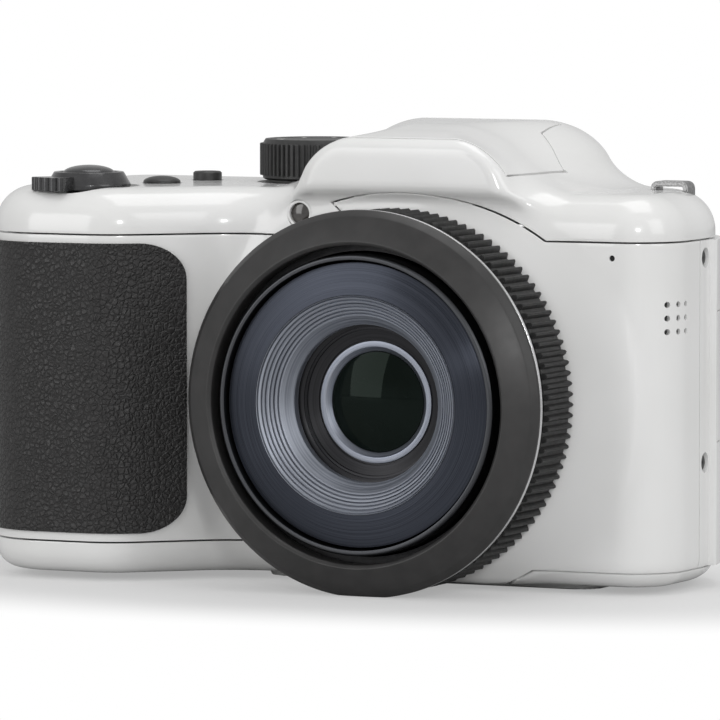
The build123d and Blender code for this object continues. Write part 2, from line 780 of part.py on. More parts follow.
# Cam ring that turns between the chassis and the barrel and drives both slides
cam_outer = chassis_inner - slide_gap
cam_inner = barrel_radius + slide_gap + slide_gap / 3
cam_front = -37.4
cam_back = chassis_back - slide_gap
cam_slot_half = 0.9
cam_slots = 3
cam_slot_steps = 9
cam_slot_step_angle = 5
cam_slot_start_share = 0.2
cam_slot_step_share = 0.06

with BuildPart() as cam_ring:
    turn([(cam_front, cam_inner), (cam_front, cam_outer), (cam_back, cam_outer), (cam_back, cam_inner)])
    for slot in range(cam_slots):
        for step in range(cam_slot_steps):
            angle = 360 / cam_slots * slot + cam_slot_step_angle * step
            along = cam_back - (cam_back - cam_front) * (cam_slot_start_share + cam_slot_step_share * step)
            with BuildSketch(Plane(origin=(0, along, lens_height),
                                   x_dir=(0, 1, 0),
                                   z_dir=(cos(radians(angle)), 0, sin(radians(angle))))) as hole:
                Circle(cam_slot_half)
            extrude(hole.sketch, amount=chassis_radius, mode=Mode.SUBTRACT)
finish(cam_ring, "cam_ring")

# Outer barrel, then the inner barrel with its dished front ring
barrel_front = -41.5
barrel_back = -9.5
barrel_lip = 1.2
inner_front = -41.4
inner_rim_front = -40.4
inner_back = -11.0
dish_radius = 17.7
dish_thickness = 1.5

with BuildPart() as outer_barrel:
    turn([(barrel_front, barrel_radius - barrel_wall), (barrel_front, barrel_radius - barrel_wall / 3),
          (barrel_front + barrel_wall / 3, barrel_radius), (barrel_back, barrel_radius),
          (barrel_back, barrel_radius - barrel_wall)])
finish(outer_barrel, "outer_barrel")

with BuildPart() as inner_barrel:
    turn([(inner_rim_front, inner_barrel_radius), (inner_back, inner_barrel_radius),
          (inner_back, inner_barrel_radius - inner_barrel_wall),
          (inner_rim_front + dish_thickness, inner_barrel_radius - inner_barrel_wall),
          (inner_front + dish_thickness, dish_radius), (inner_front, dish_radius)])
finish(inner_barrel, "inner_barrel")

# Ribbed funnel in front of the first element
funnel_ribs = 6
funnel_rib_depth = 0.35
funnel_rib_shares = ((0.15, 0), (0.15, 1), (0.55, 1), (0.55, 0))
funnel_inner_radius = 14.3
funnel_inner_front = -39.0
funnel_hole_radius = 12.8
funnel_hole_front = -37.1
funnel_thickness = 1.4
funnel_back = funnel_hole_front + funnel_thickness


def funnel_profile():
    start = (inner_front, dish_radius - running_gap)
    end = (funnel_inner_front, funnel_inner_radius)
    points = [start]
    for rib in range(funnel_ribs):
        for share, drop in funnel_rib_shares:
            along = (rib + share) / funnel_ribs
            points.append((start[0] + (end[0] - start[0]) * along + funnel_rib_depth * drop,
                           start[1] + (end[1] - start[1]) * along))
    points += [end, (funnel_hole_front, funnel_hole_radius), (funnel_back, funnel_hole_radius),
               (funnel_back, dish_radius - running_gap)]
    return points


with BuildPart() as lens_funnel:
    turn(funnel_profile())
finish(lens_funnel, "lens_funnel")

# First element in its stepped cell
cell_ring_front = -33.4
cell_step = 0.9
cell_back = -27.5
glass_radius = 8.1
glass_edge_front = -32.6
glass_crown = 1.3
glass_back_y = -28.6
cell_outer = dish_radius - running_gap
with BuildPart() as lens_cell:
    turn([(funnel_back, cell_outer), (funnel_back, cell_outer - cell_step),
          (funnel_back + cell_step, funnel_hole_radius), (funnel_back + 2 * cell_step, funnel_hole_radius),
          (funnel_back + 2 * cell_step, funnel_hole_radius - cell_step),
          (cell_ring_front, glass_radius + 2 * cell_step), (cell_ring_front, glass_radius + cell_step),
          (cell_ring_front + cell_step, glass_radius + running_gap), (cell_back, glass_radius + running_gap),
          (cell_back, cell_outer)])
finish(lens_cell, "lens_cell")

with BuildPart() as front_element:
    with BuildSketch(lens_side) as lens_section:
        with BuildLine():
            rim = Line((glass_edge_front, glass_radius), (glass_back_y, glass_radius))
            back = Line(rim @ 1, (glass_back_y, 0))
            middle = Line(back @ 1, (glass_edge_front - glass_crown, 0))
            sagitta_radius = (glass_radius**2 + glass_crown**2) / (2 * glass_crown)
            half_turn = atan2(glass_radius, sagitta_radius - glass_crown) / 2
            crown_middle = (glass_edge_front - glass_crown + sagitta_radius * (1 - cos(half_turn)),
                            sagitta_radius * sin(half_turn))
            ThreePointArc(middle @ 1, crown_middle, rim @ 0)
        make_face()
    revolve(axis=lens_axis)
finish(front_element, "front_element")

# Rear group, held in the back plate of the chassis, and the sensor behind it
group_radius = chassis_window - running_gap
group_lead = 3.0
group_front = chassis_back - group_lead
group_back = -2.6
group_wall = 1.4
group_glass_sink = 0.9
group_glass_front = group_front + group_glass_sink
group_glass_back = group_back - group_glass_sink
sensor_thickness = 1.2
sensor_gap = 0.3
sensor_width, sensor_tall = 19.0, 17.0
board_thickness = 1.2
sensor_board_width, sensor_board_tall = 34.0, 28.0
sensor_front = group_back + sensor_gap
with BuildPart() as rear_group_cell:
    turn([(group_front, group_radius - group_wall), (group_front, group_radius),
          (group_back, group_radius), (group_back, group_radius - group_wall)])
finish(rear_group_cell, "rear_group_cell")

with BuildPart() as rear_group_glass:
    turn([(group_glass_front, 0), (group_glass_front, group_radius - group_wall - running_gap),
          (group_glass_back, group_radius - group_wall - running_gap), (group_glass_back, 0)])
finish(rear_group_glass, "rear_group_glass")


def lens_box(half_width, half_tall, low_y, high_y):
    block((-half_width, low_y, lens_height - half_tall), (half_width, high_y, lens_height + half_tall))


with BuildPart() as image_sensor:
    lens_box(sensor_width / 2, sensor_tall / 2, sensor_front, sensor_front + sensor_thickness)
    lens_box(sensor_board_width / 2, sensor_board_tall / 2, sensor_front + sensor_thickness,
             sensor_front + sensor_thickness + board_thickness)
finish(image_sensor, "image_sensor")

# Zoom gearmotor beside the chassis
motor_radius = 4.4
motor_x, motor_height = 31.2, 13.5
motor_front, motor_back = -14.6, 2.0
gearbox_length = 4.6
gearbox_half = 5.6
with BuildPart() as zoom_motor:
    block((motor_x - gearbox_half, motor_front, motor_height - gearbox_half),
          (motor_x + gearbox_half, motor_front + gearbox_length, motor_height + gearbox_half))
    rod(Plane(origin=(motor_x, motor_front + gearbox_length, motor_height), x_dir=(1, 0, 0), z_dir=(0, 1, 0)),
        motor_radius, motor_back - motor_front - gearbox_length)
finish(zoom_motor, "zoom_motor")

# Screen behind its window, the main board and the flash capacitor
with BuildPart() as screen_window:
    block((screen_left + glass_rim + fit_gap, glass_back, screen_foot + glass_rim + fit_gap),
          (screen_right - glass_rim - fit_gap, glass_back + glass_thickness,
           screen_head - glass_rim - fit_gap))
finish(screen_window, "screen_window")

with BuildPart() as screen_panel:
    block((screen_left + glass_rim, panel_face - fit_gap - panel_thickness, screen_foot + glass_rim),
          (screen_right - glass_rim, panel_face - fit_gap, screen_head - glass_rim))
finish(screen_panel, "screen_panel")

main_board_back = panel_face - 2 * fit_gap - panel_thickness
with BuildPart() as main_board:
    block((screen_left + 2 * wall, main_board_back - board_thickness, screen_foot + 2 * wall),
          (side_centre_x + wall, main_board_back, screen_head - 2 * wall))
finish(main_board, "main_board")

capacitor_radius = 4.5
capacitor_x, capacitor_foot, capacitor_length = 8.0, 33.0, 19.0
with BuildPart() as flash_capacitor:
    rod(upright(capacitor_x, main_board_back - board_thickness - holder_gap - capacitor_radius,
                capacitor_foot), capacitor_radius, capacitor_length)
finish(flash_capacitor, "flash_capacitor")

# Keys on the back, each a cap with a flange behind the wall
inner_back_face = back_face - wall
key_flange_front = inner_back_face - key_gap - key_flange_thickness
for name, (x, height) in keys.items():
    with BuildPart() as key:
        rod(back_plane(x, key_flange_front, height), key_radius, back_surface + key_stand - key_flange_front)
        rod(back_plane(x, key_flange_front, height), key_radius + key_flange, key_flange_thickness)
        fillet(key.edges().filter_by(GeomType.CIRCLE).group_by(Axis.Y)[-1], button_gap)
    finish(key, name)

# Four-way pad: a rocking plate, the ring on it and the set button through both
set_radius = 2.9
set_bore = set_radius + slide_gap
plate_radius = 6.4
plate_thickness = 1.2
pad_plate_front = key_flange_front - key_gap
pad_foot = pad_plate_front + plate_thickness + 1.5 * slide_gap
with BuildPart() as pad_plate:
    rod(back_plane(pad_x, pad_plate_front, pad_height), plate_radius, plate_thickness)
    rod(back_plane(pad_x, pad_plate_front, pad_height), set_bore, plate_thickness, mode=Mode.SUBTRACT)
finish(pad_plate, "pad_plate")

with BuildPart() as four_way_pad:
    rod(back_plane(pad_x, pad_foot, pad_height), pad_radius, back_surface + pad_stand - pad_foot)
    rod(back_plane(pad_x, pad_foot, pad_height), set_bore, overrun, mode=Mode.SUBTRACT)
    fillet(four_way_pad.edges().filter_by(GeomType.CIRCLE).group_by(Axis.Y)[-1], button_gap)
finish(four_way_pad, "four_way_pad")

with BuildPart() as set_button:
    rod(back_plane(pad_x, pad_plate_front - key_gap / 2, pad_height), set_radius,
        back_surface + pad_stand + key_gap - pad_plate_front)
    fillet(set_button.edges().filter_by(GeomType.CIRCLE).group_by(Axis.Y)[-1], button_gap)
finish(set_button, "set_button")

# Board behind the keys and the board under the deck controls
key_board_back = pad_plate_front - 1.5 * key_gap
with BuildPart() as key_board:
    block((min(x for x, height in keys.values()) - 2 * key_radius, key_board_back - board_thickness,
           screen_foot), (screen_left - 2 * fit_gap, key_board_back, screen_head))
finish(key_board, "key_board")

# Deck controls
collar_thickness = 1.0
collar_gap = 0.4
stem_foot = deck_inner - collar_gap - collar_thickness
burst_rise = 1.2
power_rise = 1.5
with BuildPart() as burst_button:
    rod(upright(burst_x, burst_y, stem_foot), burst_radius, deck_height + burst_rise - stem_foot)
    rod(upright(burst_x, burst_y, stem_foot), burst_radius + key_flange, collar_thickness)
    fillet(burst_button.edges().filter_by(GeomType.CIRCLE).group_by(Axis.Z)[-1], burst_rise - button_gap)
finish(burst_button, "burst_button")

with BuildPart() as power_button:
    rod(upright(power_x, power_y, stem_foot), power_radius, deck_height + power_rise - stem_foot)
    rod(upright(power_x, power_y, stem_foot), power_radius + key_flange, collar_thickness)
    fillet(power_button.edges().filter_by(GeomType.CIRCLE).group_by(Axis.Z)[-1], button_gap)
finish(power_button, "power_button")

dial_gap = 0.35
dial_tooth = 0.45
dial_teeth = 60
dial_land = 0.8
with BuildPart() as mode_dial:
    extrude(toothed_face(upright(dial_x, dial_y, deck_height + dial_gap + dial_land), dial_radius,
                         dial_tooth, dial_teeth),
            amount=dial_top - deck_height - dial_gap - 2 * dial_land)
    rod(upright(dial_x, dial_y, deck_height + dial_gap), dial_radius - dial_tooth,
        dial_top - deck_height - dial_gap)
    rod(upright(dial_x, dial_y, stem_foot), dial_shaft_radius, deck_height - stem_foot + dial_land)
    chamfer(mode_dial.edges().filter_by(GeomType.CIRCLE).group_by(Axis.Z)[-1], dial_land / 2)
finish(mode_dial, "mode_dial")

# Zoom lever round the shutter button
lever_bore = 4.6
lever_floor = 0.7
lever_height = 2.9
lever_seat = deck_height - lever_recess + slide_gap
lever_top = lever_seat + lever_height
tab_ribs = 5
shutter_radius = lever_bore - slide_gap
shutter_stem_radius = 1.9
shutter_travel = 0.8
shutter_rise = 1.1
with BuildPart() as zoom_lever:
    rod(upright(lever_x, lever_y, lever_seat), lever_radius, lever_height)
    fillet(zoom_lever.edges().filter_by(GeomType.CIRCLE).group_by(Axis.Z)[-1], button_gap * 4)
    extrude(sector(upright(lever_x, lever_y, deck_height - tab_well + slide_gap), tab_root, tab_reach,
                   tab_angle, tab_half_angle),
            amount=lever_top - deck_height + tab_well - 2 * slide_gap)
    for index in range(tab_ribs):
        angle = radians(tab_angle + tab_half_angle * (index - (tab_ribs - 1) / 2) / 3)
        rod(upright(lever_x + (tab_reach + lever_floor / 3) * cos(angle),
                    lever_y + (tab_reach + lever_floor / 3) * sin(angle), deck_height - tab_well),
            lever_floor, overrun, mode=Mode.SUBTRACT)
    rod(upright(lever_x, lever_y, stem_foot), lever_collar_radius, lever_seat - stem_foot + lever_floor)
    rod(upright(lever_x, lever_y, lever_seat + lever_floor), lever_bore, lever_height, mode=Mode.SUBTRACT)
    rod(upright(lever_x, lever_y, stem_foot), shutter_stem_radius + slide_gap, overrun, mode=Mode.SUBTRACT)
finish(zoom_lever, "zoom_lever")

with BuildPart() as shutter_button:
    cap_foot = lever_seat + lever_floor + shutter_travel + slide_gap
    rod(upright(lever_x, lever_y, cap_foot), shutter_radius, lever_top + shutter_rise - cap_foot)
    fillet(shutter_button.edges().filter_by(GeomType.CIRCLE).group_by(Axis.Z)[-1], shutter_rise - button_gap)
    rod(upright(lever_x, lever_y, stem_foot), shutter_stem_radius, cap_foot - stem_foot)
finish(shutter_button, "shutter_button")

deck_board_top = stem_foot - shutter_travel - slide_gap
deck_board_left, deck_board_right = -63.0, -44.0
deck_board_front, deck_board_back = -28.5, 4.0
deck_post_radius = 1.2
deck_posts = ((-61.0, 2.0), (-61.0, -12.0), (-46.0, -20.0))
with BuildPart() as deck_board:
    block((deck_board_left, deck_board_front, deck_board_top - board_thickness),
          (deck_board_right, deck_board_back, deck_board_top))
    for x, y in deck_posts:
        rod(upright(x, y, deck_board_top), deck_post_radius, deck_inner - fit_gap - deck_board_top)
finish(deck_board, "deck_board")

# Flash lid: the lifting top of the housing, with two ribs that hold the lamp under it
lamp_half = 9.6
lamp_rib = 1.2
lamp_foot, lamp_head = 66.9, 70.9
lamp_window_front, lamp_window_back = -21.7, -20.7
lamp_back = -14.0
with BuildPart() as lid_skin:
    add(hump_form)
    add(hump_hollow, mode=Mode.SUBTRACT)
    add(lid_solid, mode=Mode.INTERSECT)

with BuildPart() as lid_barrel:
    rod(Plane(origin=(-lid_tongue_half, lid_hinge_y, lid_hinge_height), x_dir=(0, 1, 0), z_dir=(1, 0, 0)),
        lid_hinge_radius, 2 * lid_tongue_half)
    add(hump_form, mode=Mode.INTERSECT)

with BuildPart() as lid_ribs:
    for side in (-lamp_half - fit_gap - lamp_rib, lamp_half + fit_gap):
        block((side, lamp_window_back, lamp_foot), (side + lamp_rib, lamp_back, hump_top))
    add(hump_form, mode=Mode.INTERSECT)

with BuildPart() as flash_lid:
    add(lid_skin.part)
    add(lid_barrel.part)
    add(lid_ribs.part)
    rod(Plane(origin=(far_x, lid_hinge_y, lid_hinge_height), x_dir=(0, 1, 0), z_dir=(1, 0, 0)),
        lid_pin_radius + running_gap, 6 * overrun, mode=Mode.SUBTRACT)
finish(flash_lid, "flash_lid")

with BuildPart() as lid_pin:
    pin_half = lid_tongue_half + wall - fit_gap
    rod(Plane(origin=(-pin_half, lid_hinge_y, lid_hinge_height), x_dir=(0, 1, 0), z_dir=(1, 0, 0)),
        lid_pin_radius, 2 * pin_half)
finish(lid_pin, "flash_hinge_pin")

lamp_wall = 0.7
with BuildPart() as flash_window:
    block((-lamp_half, lamp_window_front, lamp_foot), (lamp_half, lamp_window_back, lamp_head))
    fillet(flash_window.edges().filter_by(Axis.Y), lamp_wall)
finish(flash_window, "flash_window")

with BuildPart() as flash_reflector:
    block((-lamp_half, lamp_window_back, lamp_foot), (lamp_half, lamp_back, lamp_head))
    with BuildSketch(Plane.XZ.offset(-lamp_window_back)) as mouth:
        with Locations((0, (lamp_foot + lamp_head) / 2)):
            Rectangle(2 * lamp_half - 2 * lamp_wall, lamp_head - lamp_foot - 2 * lamp_wall)
    with BuildSketch(Plane.XZ.offset(-lamp_back + lamp_wall)) as throat:
        with Locations((0, (lamp_foot + lamp_head) / 2)):
            Rectangle(2 * lamp_half - 4 * lamp_wall, (lamp_head - lamp_foot) / 2)
    loft([mouth.sketch, throat.sketch], mode=Mode.SUBTRACT)
finish(flash_reflector, "flash_reflector")

tube_radius = 0.9
with BuildPart() as flash_tube:
    rod(Plane(origin=(-lamp_half + 3 * lamp_wall, lamp_back - 3 * lamp_wall, (lamp_foot + lamp_head) / 2),
              x_dir=(0, 1, 0), z_dir=(1, 0, 0)), tube_radius, 2 * lamp_half - 6 * lamp_wall)
finish(flash_tube, "flash_tube")

# Focus lamp window, strap lugs, microphone and speaker
with BuildPart() as focus_lamp:
    rod(Plane(origin=(lamp_x, lamp_front + fit_gap, lamp_height), x_dir=(1, 0, 0), z_dir=(0, 1, 0)),
        lamp_radius, wall - fit_gap)
finish(focus_lamp, "focus_lamp")

with BuildPart() as deck_lug:
    block((lug_x - lug_span / 2, lug_y - lug_width / 2, deck_height - lug_root),
          (lug_x + lug_span / 2, lug_y + lug_width / 2, deck_height + lug_rise))
    block((lug_x - lug_span / 2 + lug_strip, far_y, far_z),
          (lug_x + lug_span / 2 - lug_strip, away_y, deck_height + lug_rise - lug_strip), mode=Mode.SUBTRACT)
    fillet(deck_lug.edges().filter_by(Axis.Y).group_by(Axis.Z)[-1], lug_strip - button_gap)

lug_face = left_side - rear_step - lug_reach
with BuildPart() as side_lug:
    block((lug_face, lug_y - lug_width / 2, lug_low),
          (left_side + wall, lug_y + lug_width / 2, lug_low + lug_span))
    block((lug_face + lug_strip, far_y, lug_low + lug_strip),
          (away_x, away_y, lug_low + lug_span - lug_strip), mode=Mode.SUBTRACT)
    fillet(side_lug.edges().filter_by(Axis.Y).group_by(Axis.X)[0], lug_strip - button_gap)

with BuildPart() as strap_lugs:
    add(deck_lug.part)
    add(side_lug.part)
finish(strap_lugs, "strap_lugs")

mic_body_radius = 2.2
mic_body_length = 2.2
with BuildPart() as microphone:
    rod(Plane(origin=(mic_x, front_face + wall + 3 * fit_gap, mic_height), x_dir=(1, 0, 0), z_dir=(0, 1, 0)),
        mic_body_radius, mic_body_length)
finish(microphone, "microphone")

speaker_radius = 3.6
speaker_thickness = 2.6
speaker_face = right_side - front_corner_round / 2 + fit_gap
with BuildPart() as speaker:
    rod(Plane(origin=(speaker_face, speaker_ys[-1] - wall / 2, speaker_heights[1]), x_dir=(0, 1, 0),
              z_dir=(-1, 0, 0)), speaker_radius, speaker_thickness)
finish(speaker, "speaker")

# Port flap and the socket behind it
with BuildPart() as flap_skin:
    add(rear_form)
    add(inner_form, mode=Mode.SUBTRACT)
    add(flap_solid, mode=Mode.INTERSECT)

with BuildPart() as port_flap:
    add(flap_skin.part)
    rod(upright(flap_pin_x, flap_front, far_z), flap_pin_radius + press_gap, 6 * overrun, mode=Mode.SUBTRACT)
finish(port_flap, "port_flap")

with BuildPart() as flap_pin:
    rod(upright(flap_pin_x, flap_front, flap_low - wall + fit_gap), flap_pin_radius,
        flap_high - flap_low + 2 * (wall - fit_gap))
finish(flap_pin, "flap_hinge_pin")

port_width, port_tall, port_depth = 9.0, 3.3, 7.0
port_wall = 0.4
port_angle = radians(36)
port_face = rear_right_round - wall - seam_gap
port_plane = Plane(origin=(side_centre_x + port_face * cos(port_angle),
                           side_centre_y + port_face * sin(port_angle), (flap_low + flap_high) / 2),
                   x_dir=(0, 0, 1), z_dir=(cos(port_angle), sin(port_angle), 0))
with BuildPart() as usb_port:
    with BuildSketch(port_plane) as shell_outline:
        RectangleRounded(port_width, port_tall, port_tall / 3)
    extrude(shell_outline.sketch, amount=-port_depth)
    with BuildSketch(port_plane) as mouth_outline:
        RectangleRounded(port_width - 2 * port_wall, port_tall - 2 * port_wall, port_tall / 4)
    extrude(mouth_outline.sketch, amount=-port_depth + port_wall, mode=Mode.SUBTRACT)
finish(usb_port, "usb_port")
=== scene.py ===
from math import atan2, cos, pi, radians, sin, sqrt, tan

import bmesh
import bpy
from mathutils import Matrix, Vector
import numpy as np


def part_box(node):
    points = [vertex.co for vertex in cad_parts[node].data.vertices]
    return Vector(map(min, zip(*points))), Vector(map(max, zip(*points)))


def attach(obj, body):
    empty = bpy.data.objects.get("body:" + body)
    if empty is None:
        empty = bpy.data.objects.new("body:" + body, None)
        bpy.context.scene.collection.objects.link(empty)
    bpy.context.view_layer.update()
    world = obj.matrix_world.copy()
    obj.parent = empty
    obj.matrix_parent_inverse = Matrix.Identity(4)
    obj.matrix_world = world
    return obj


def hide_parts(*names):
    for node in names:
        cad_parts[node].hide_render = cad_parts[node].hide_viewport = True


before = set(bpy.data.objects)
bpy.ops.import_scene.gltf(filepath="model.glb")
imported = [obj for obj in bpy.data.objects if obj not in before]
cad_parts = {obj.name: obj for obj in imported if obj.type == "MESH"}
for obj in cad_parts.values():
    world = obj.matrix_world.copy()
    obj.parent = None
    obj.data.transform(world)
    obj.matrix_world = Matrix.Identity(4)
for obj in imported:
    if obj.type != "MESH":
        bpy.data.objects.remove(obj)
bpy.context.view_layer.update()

# THE BODY'S FORM
# Four gloss-white ABS mouldings make the body: deck, front, back and foot, screwed together.
# They come from one master surface, which the seams cut up, so reflections cross the gaps.
mm = 0.001
shell_wall, cover_wall = 1.8, 1.6
seam = 0.3
deck_z, belly_z = 64.5, 1.2
deck_round, belly_round = 6.5, 4.0
lens_z = 31.0
# Corners of the body seen from above: the place and the radius of each
plan_corners = [
    (-73.0, 20.0, 10.0),
    (-73.0, -36.5, 13.0),
    (-47.0, -36.5, 12.0),
    (-31.0, -21.5, 14.0),
    (45.5, -21.5, 9.0),
    (45.5, 20.0, 26.0),
]


def plan_outline(corners):
    # Straight runs and corner arcs of the body seen from above, counter-clockwise.
    points = np.array([c[:2] for c in corners])
    arcs, runs = [], []
    for index, (x, y, radius) in enumerate(corners):
        before = points[index] - points[index - 1]
        after = points[(index + 1) % len(points)] - points[index]
        before, after = before / np.hypot(*before), after / np.hypot(*after)
        turn = atan2(before[0] * after[1] - before[1] * after[0], before @ after)
        reach = radius * tan(abs(turn) / 2)
        bend = 1 if turn > 0 else -1
        centre = points[index] - before * reach + bend * radius * np.array([-before[1], before[0]])
        arcs.append((centre, radius, bend, before, after, reach))
    for index, arc in enumerate(arcs):
        following = arcs[(index + 1) % len(arcs)]
        start = points[index] + arc[4] * arc[5]
        end = points[(index + 1) % len(points)] - following[3] * following[5]
        runs.append((start, end))
    return arcs, runs


body_arcs, body_runs = plan_outline(plan_corners)


def plan_distance(x, y):
    best = np.full(x.shape, 1e9)
    for centre, radius, bend, before, after, reach in body_arcs:
        dx, dy = x - centre[0], y - centre[1]
        far = np.hypot(dx, dy)
        inside = (dx * before[0] + dy * before[1] >= 0) & (dx * after[0] + dy * after[1] <= 0)
        away = bend * (far - radius)
        best = np.where(inside & (np.abs(away) < np.abs(best)), away, best)
    for start, end in body_runs:
        along = end - start
        length = np.hypot(*along)
        along = along / length
        dx, dy = x - start[0], y - start[1]
        place = dx * along[0] + dy * along[1]
        away = dx * along[1] - dy * along[0]
        best = np.where((place >= 0) & (place <= length) & (np.abs(away) < np.abs(best)), away, best)
    return best


def meet(a, b, radius):
    # Two solids' common part, with the edge between them rounded.
    u, v = np.maximum(a + radius, 0), np.maximum(b + radius, 0)
    return np.sqrt(u * u + v * v) + np.minimum(np.maximum(a, b) + radius, 0) - radius


def join(a, b, radius):
    return -meet(-a, -b, radius)


def casing_field(x, y, z, grow=0.0):
    sides = plan_distance(x, y) - grow
    return meet(meet(sides, z - deck_z - grow, deck_round), belly_z - grow - z, belly_round)


# Flash housing over the lens: brow, rise, crest and fall along the body
hump_y = np.array([-24.8, -17.0, -10.0, 8.0, 18.0])
hump_half = np.array([18.8, 23.9, 27.5, 27.0, 24.0])
hump_top_half = np.array([16.3, 11.9, 10.0, 17.5, 16.5])
hump_foot = np.array([64.3, 61.6, 60.0, 60.0, 60.0])
hump_top = np.array([73.0, 74.3, 75.1, 75.3, 73.4])
hump_corner = np.array([5.9, 5.2, 4.4, 6.0, 4.2])
brow_round, fall_round, root_round = 2.2, 5.0, 1.0


def along_hump(y, values):
    # Smooth line through the sections' values, level where two neighbours are equal.
    rise = np.diff(values) / np.diff(hump_y)
    slopes = np.append(rise[0], rise)
    slopes[-1] = 1.6 * rise[-1]
    for k in range(1, len(rise)):
        one, two = rise[k - 1], rise[k]
        slopes[k] = 2 * one * two / (one + two) if one * two > 0 else 0.0
    y = np.clip(y, hump_y[0], hump_y[-1])
    k = np.clip(np.searchsorted(hump_y, y) - 1, 0, len(hump_y) - 2)
    step = hump_y[k + 1] - hump_y[k]
    t = (y - hump_y[k]) / step
    return (values[k] * (2 * t**3 - 3 * t**2 + 1) + values[k + 1] * (3 * t**2 - 2 * t**3)
            + slopes[k] * step * (t**3 - 2 * t**2 + t) + slopes[k + 1] * step * (t**3 - t**2))


def hump_field(x, y, z):
    half, top_half = along_hump(y, hump_half), along_hump(y, hump_top_half)
    foot, top = along_hump(y, hump_foot), along_hump(y, hump_top)
    lean = (half - top_half) / (top - foot)
    sides = (np.abs(x) - half + lean * (z - foot)) / np.sqrt(1 + lean**2)
    form = meet(sides, z - top, along_hump(y, hump_corner))
    form = meet(form, hump_y[0] - y, brow_round)
    form = meet(form, y - hump_y[-1], fall_round)
    return meet(form, foot - z, root_round)


collar_face, collar_root, collar_flare, collar_slope = -24.5, -12.0, 3.0, 1.6
collar_r, collar_wider, collar_taller = 29.9, 9.6, 3.3


def fairing_field(x, y, z):
    # The flared collar that carries the lens: an oval at the body, round at the ring.
    t = np.clip((y - collar_face) / collar_flare, 0, 1.0)
    wide = collar_r + collar_wider * t
    tall = collar_r + collar_taller * t
    u, v = x / wide, (z - lens_z) / tall
    one = np.sqrt(u * u + v * v) + 1e-9
    two = np.sqrt((u / wide) ** 2 + (v / tall) ** 2) + 1e-9
    cone = one * (one - 1) / two / collar_slope
    form = meet(cone, collar_face - y, 0.8)
    form = meet(form, y - collar_root, 0.5)
    return meet(form, belly_z - z, root_round)


def part(p):
    # The x, y and z of an array of places.
    return p[..., 0], p[..., 1], p[..., 2]


hump_blend, collar_blend = 4.5, 2.2


def body_field(p):
    x, y, z = part(p)
    form = join(casing_field(x, y, z), hump_field(x, y, z), hump_blend)
    return join(form, fairing_field(x, y, z), collar_blend)


def skin_of(field, low, high, step, slabs=12, pulls=4, feeler=0.01, stride=0.4):
    # Master surface of a solid: one point for each grid cell that the surface crosses,
    # then pulled onto it.
    axes = [np.arange(a, b + step, step) for a, b in zip(low, high)]
    grid = np.stack(np.meshgrid(*axes, indexing="ij"), -1)
    value = np.concatenate([field(slab) for slab in np.array_split(grid, slabs)])
    inside = value < 0
    cells = tuple(n - 1 for n in inside.shape)
    total, count = np.zeros(cells + (3,)), np.zeros(cells)
    corner = np.array([(i, j, k) for i in (0, 1) for j in (0, 1) for k in (0, 1)])
    for a in range(8):
        for b in range(a + 1, 8):
            if np.abs(corner[a] - corner[b]).sum() != 1:
                continue
            first = tuple(slice(corner[a][n], corner[a][n] + cells[n]) for n in range(3))
            second = tuple(slice(corner[b][n], corner[b][n] + cells[n]) for n in range(3))
            cross = inside[first] != inside[second]
            va, vb = value[first][cross], value[second][cross]
            share = (va / (va - vb))[:, None]
            total[cross] += grid[first][cross] * (1 - share) + grid[second][cross] * share
            count[cross] += 1
    used = count > 0
    number = np.full(cells, -1)
    number[used] = np.arange(used.sum())
    points = total[used] / count[used][:, None]
    faces = []
    for axis in range(3):
        n = [slice(None)] * 3
        ahead = [slice(None)] * 3
        n[axis], ahead[axis] = slice(0, -1), slice(1, None)
        start, end = inside[tuple(n)], inside[tuple(ahead)]
        one, two = [(1, 2), (2, 0), (0, 1)][axis]
        spots = np.argwhere(start != end)
        u, v = spots[:, one], spots[:, two]
        spots = spots[(u > 0) & (v > 0) & (u < cells[one]) & (v < cells[two])]
        leaving = start[tuple(spots.T)]
        corners = []
        for du, dv in ((-1, -1), (0, -1), (0, 0), (-1, 0)):
            place = spots.copy()
            place[:, one] += du
            place[:, two] += dv
            corners.append(number[tuple(place.T)])
        quads = np.stack(corners, 1)
        quads[~leaving] = quads[~leaving][:, ::-1]
        faces.append(quads)
    faces = np.concatenate(faces)
    for _ in range(pulls):
        slope = np.zeros_like(points)
        for axis in range(3):
            nudge = np.zeros(3)
            nudge[axis] = feeler
            slope[:, axis] = (field(points + nudge) - field(points - nudge)) / (2 * feeler)
        away = field(points)
        size = (slope**2).sum(1) + 1e-9
        points = points - slope * np.clip(away / size, -stride * step, stride * step)[:, None]
    return points, faces


def open_mesh(points, faces):
    mesh = bpy.data.meshes.new("master")
    mesh.from_pydata(points.tolist(), [], faces.tolist())
    cut = bmesh.new()
    cut.from_mesh(mesh)
    bpy.data.meshes.remove(mesh)
    return cut


